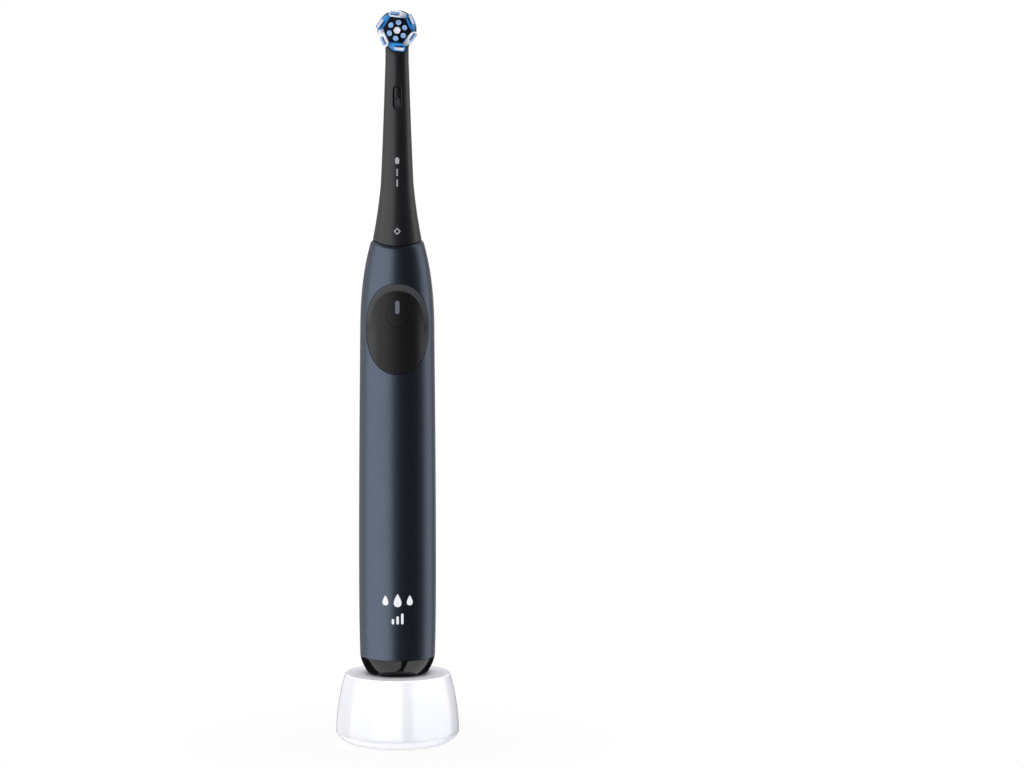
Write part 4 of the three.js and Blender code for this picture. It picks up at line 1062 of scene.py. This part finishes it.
# The turned parts that show when the head is off, and the rod behind the slot.
def makeInnards():
    n = innards
    radius, low, high = limits("drive_shaft")
    shaft = spun([(0, low), (radius - 0.2, low), (radius, low + 0.2), (radius, high - n["grooveFoot"]),
                  (radius - n["grooveDepth"], high - (n["grooveFoot"] - n["grooveEdge"])),
                  (radius - n["grooveDepth"], high - (n["grooveTop"] + n["grooveEdge"])),
                  (radius, high - n["grooveTop"]), (radius, high - 0.4), (radius - 0.4, high), (0, high)], 48)
    finishPiece("shaft_turned", shaft, "steel", "drive", ["drive_shaft"])

    sealRadius, sealLow, sealHigh = limits("shaft_seal")
    bore = radius + n["sealGap"]
    seal = spun([(bore, sealLow), (sealRadius - 0.1, sealLow), (sealRadius - 0.02, sealLow + 0.1),
                 (sealRadius - 0.02, sealHigh - 0.3), (sealRadius - 0.25, sealHigh - 0.05),
                 (sealRadius - 0.6, sealHigh - 0.3), (bore + 0.5, sealHigh - 0.55),
                 (bore + 0.2, sealHigh - 0.1), (bore, sealHigh - 0.2)], 64, closed=True)
    finishPiece("seal_lips", seal, "seal_rubber", "handle", ["shaft_seal"])

    rod = bmesh.new()
    rod.from_mesh(frame["nodes"]["push_rod"].data)
    tidied(rod)
    bmesh.ops.dissolve_limit(rod, angle_limit=math.radians(1), verts=rod.verts[:], edges=rod.edges[:])
    sharp = [e for e in rod.edges if e.is_manifold and e.calc_face_angle(0) > math.radians(40)]
    bmesh.ops.bevel(rod, geom=sharp, offset=n["rodEdge"] * mm, offset_type="OFFSET", affect="EDGES", segments=2,
                    profile=0.5, material=-1, clamp_overlap=True)
    finishPiece("rod_moulded", tidied(rod), "grey_plastic", "push_rod", ["push_rod"])
    for name, lowBody, highBody in (("lower_spring", "handle", "drive"), ("upper_spring", "drive", "handle")):
        coil = bmesh.new()
        coil.from_mesh(frame["nodes"][name].data)
        piece = finishPiece(f"{name}_coil", tidied(coil), "nickel", None, [name])
        low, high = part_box(name)
        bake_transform(piece)
    print("shaft, seal, rod and springs made")


makeInnards()


def finishNodes():
    slots = {entry["node"]: entry["material_slot"] for entry in frame["record"]["subparts"]}
    for name, piece in frame["nodes"].items():
        if piece.hide_render:
            continue
        piece.data.materials.clear()
        piece.data.materials.append(finishes[slots[name]])
    print("carried-over nodes finished")


finishNodes()


# Name, azimuth, elevation, distance, height of its middle, width, height, power. The first word says what it
# lights; a fill gives only diffuse light and the others only gloss.
studioLights = [
    ("handle softbox", -62, 0, 0.75, 0.16, 1.5, 2.2, 17.5),
    ("handle rim strip", -128, 0, 0.75, 0.16, 0.7, 2.2, 3),
    ("handle right strip", 108, 0, 0.75, 0.16, 0.5, 2.2, 5),
    ("handle back softbox", 172, 0, 0.75, 0.16, 0.8, 2.2, 4),
    ("cap left panel", -45.5, 0, 0.5, -0.4, 1.63, 1.9, 13),
    ("cap right panel", 75.5, 0, 0.5, -0.4, 0.95, 1.9, 8),
    ("charger left panel", -45.5, 0, 0.5, 0, 1.4, 1.7, 18),
    ("charger rim panel", -130, 0, 0.5, 0, 0.58, 1.7, 2.5),
    ("charger right panel", 74.5, 0, 0.5, 0, 1.02, 1.7, 9.5),
    ("charger overhead fill", 0, 90, 0.9, 0.03, 1, 1, 15),
    ("charger low fill", 0, -85, 0.9, 0.03, 1, 1, 17),
    ("bristles front fill", -15, 25, 0.9, 0.24, 1, 1, 11),
]


view = {"lens": 166, "sensor": 36, "place": (0, -1.7, 0.3237), "aim": (0.04153, 0, 0.13124), "roll": 0.1}


def makeStudio():
    shape = bmesh.new()
    bmesh.ops.create_circle(shape, cap_ends=True, segments=96, radius=3)
    mesh = meshOf(shape, "floor")
    floor = bpy.data.objects.new("floor", mesh)
    bpy.context.scene.collection.objects.link(floor)
    floor.location.z = -0.0002
    floor.visible_glossy = floor.visible_shadow = False  # the softboxes reach below the table top
    material = bpy.data.materials.new("pale floor")
    material.use_nodes = True
    tree = material.node_tree
    paper = tree.nodes["Principled BSDF"]
    paper.inputs["Base Color"].default_value = (0.9, 0.9, 0.9, 1)
    paper.inputs["Roughness"].default_value = 0.9
    place = node(tree, "ShaderNodeTexCoord")
    reach = node(tree, "ShaderNodeVectorMath", {0: place.outputs["Object"]}, operation="LENGTH")
    fade = node(tree, "ShaderNodeMapRange", {"Value": reach.outputs["Value"], "From Min": 0.02,
                "From Max": 0.09, "To Min": 0.75, "To Max": 1.0})
    seen = node(tree, "ShaderNodeLightPath")
    share = node(tree, "ShaderNodeMath", {0: fade.outputs[0], 1: seen.outputs["Is Camera Ray"]},
                 operation="MULTIPLY")
    glow = node(tree, "ShaderNodeEmission", {"Color": (1, 1, 1, 1), "Strength": 1.0})
    blend = node(tree, "ShaderNodeMixShader", {0: share.outputs[0], 1: paper.outputs[0], 2: glow.outputs[0]})
    tree.links.new(blend.outputs[0], tree.nodes["Material Output"].inputs["Surface"])
    mesh.materials.append(material)

    world = bpy.data.worlds.new("studio")
    world.use_nodes = True
    bpy.context.scene.world = world
    tree = world.node_tree
    path = node(tree, "ShaderNodeLightPath")
    background = tree.nodes["Background"]
    colour = mixed(tree, path.outputs["Is Glossy Ray"], (1.08, 1.08, 1.1, 1), (0.02, 0.02, 0.025, 1))
    colour = mixed(tree, path.outputs["Is Camera Ray"], colour, (1.0, 1.0, 1.0, 1))
    tree.links.new(colour, background.inputs["Color"])

    housing = bpy.data.objects["charger_housing_skin"]
    housing.visible_glossy = housing.visible_shadow = False  # keeps the softboxes clear in the base cap
    lit = {f"{name} lit": bpy.data.collections.new(f"{name} lit")
           for name in ("handle", "cap", "charger", "bristles")}
    for piece in bpy.context.scene.objects:
        if piece.type != "MESH" or piece == floor:
            continue
        if piece.name in ("charger_housing_skin", "charger_base_skin"):
            lit["charger lit"].objects.link(piece)
        elif piece.name == "base_cap_skin":
            lit["cap lit"].objects.link(piece)
        else:
            lit["handle lit"].objects.link(piece)
        if piece.name.endswith("_bristles"):
            lit["bristles lit"].objects.link(piece)
    for name, azimuth, elevation, distance, middle, width, height, power in studioLights:
        light = bpy.data.lights.new(name, "AREA")
        light.shape, light.size, light.size_y, light.energy = "RECTANGLE", width, height, power
        lamp = bpy.data.objects.new(name, light)
        bpy.context.scene.collection.objects.link(lamp)
        a, e = math.radians(azimuth), math.radians(elevation)
        out = Vector((math.sin(a) * math.cos(e), -math.cos(a) * math.cos(e), math.sin(e)))
        lamp.location = Vector((0, 0, middle)) + out * distance
        lamp.rotation_mode = "QUATERNION"
        lamp.rotation_quaternion = out.to_track_quat("Z", "Y")
        fills = name.endswith("fill")
        lamp.visible_camera, lamp.visible_diffuse, lamp.visible_glossy = False, fills, not fills
        lamp.light_linking.receiver_collection = lit[name.split()[0] + " lit"]

    camera = bpy.data.cameras.new("camera")
    camera.lens, camera.sensor_width = view["lens"], view["sensor"]
    viewer = bpy.data.objects.new("camera", camera)
    bpy.context.scene.collection.objects.link(viewer)
    viewer.location = view["place"]
    viewer.rotation_mode = "QUATERNION"
    aim = (viewer.location - Vector(view["aim"])).to_track_quat("Z", "Y")
    viewer.rotation_quaternion = aim @ Matrix.Rotation(math.radians(view["roll"]), 3, "Z").to_quaternion()
    bpy.context.scene.camera = viewer
    bpy.context.scene.view_settings.view_transform = "Standard"
    print("studio made")


makeStudio()
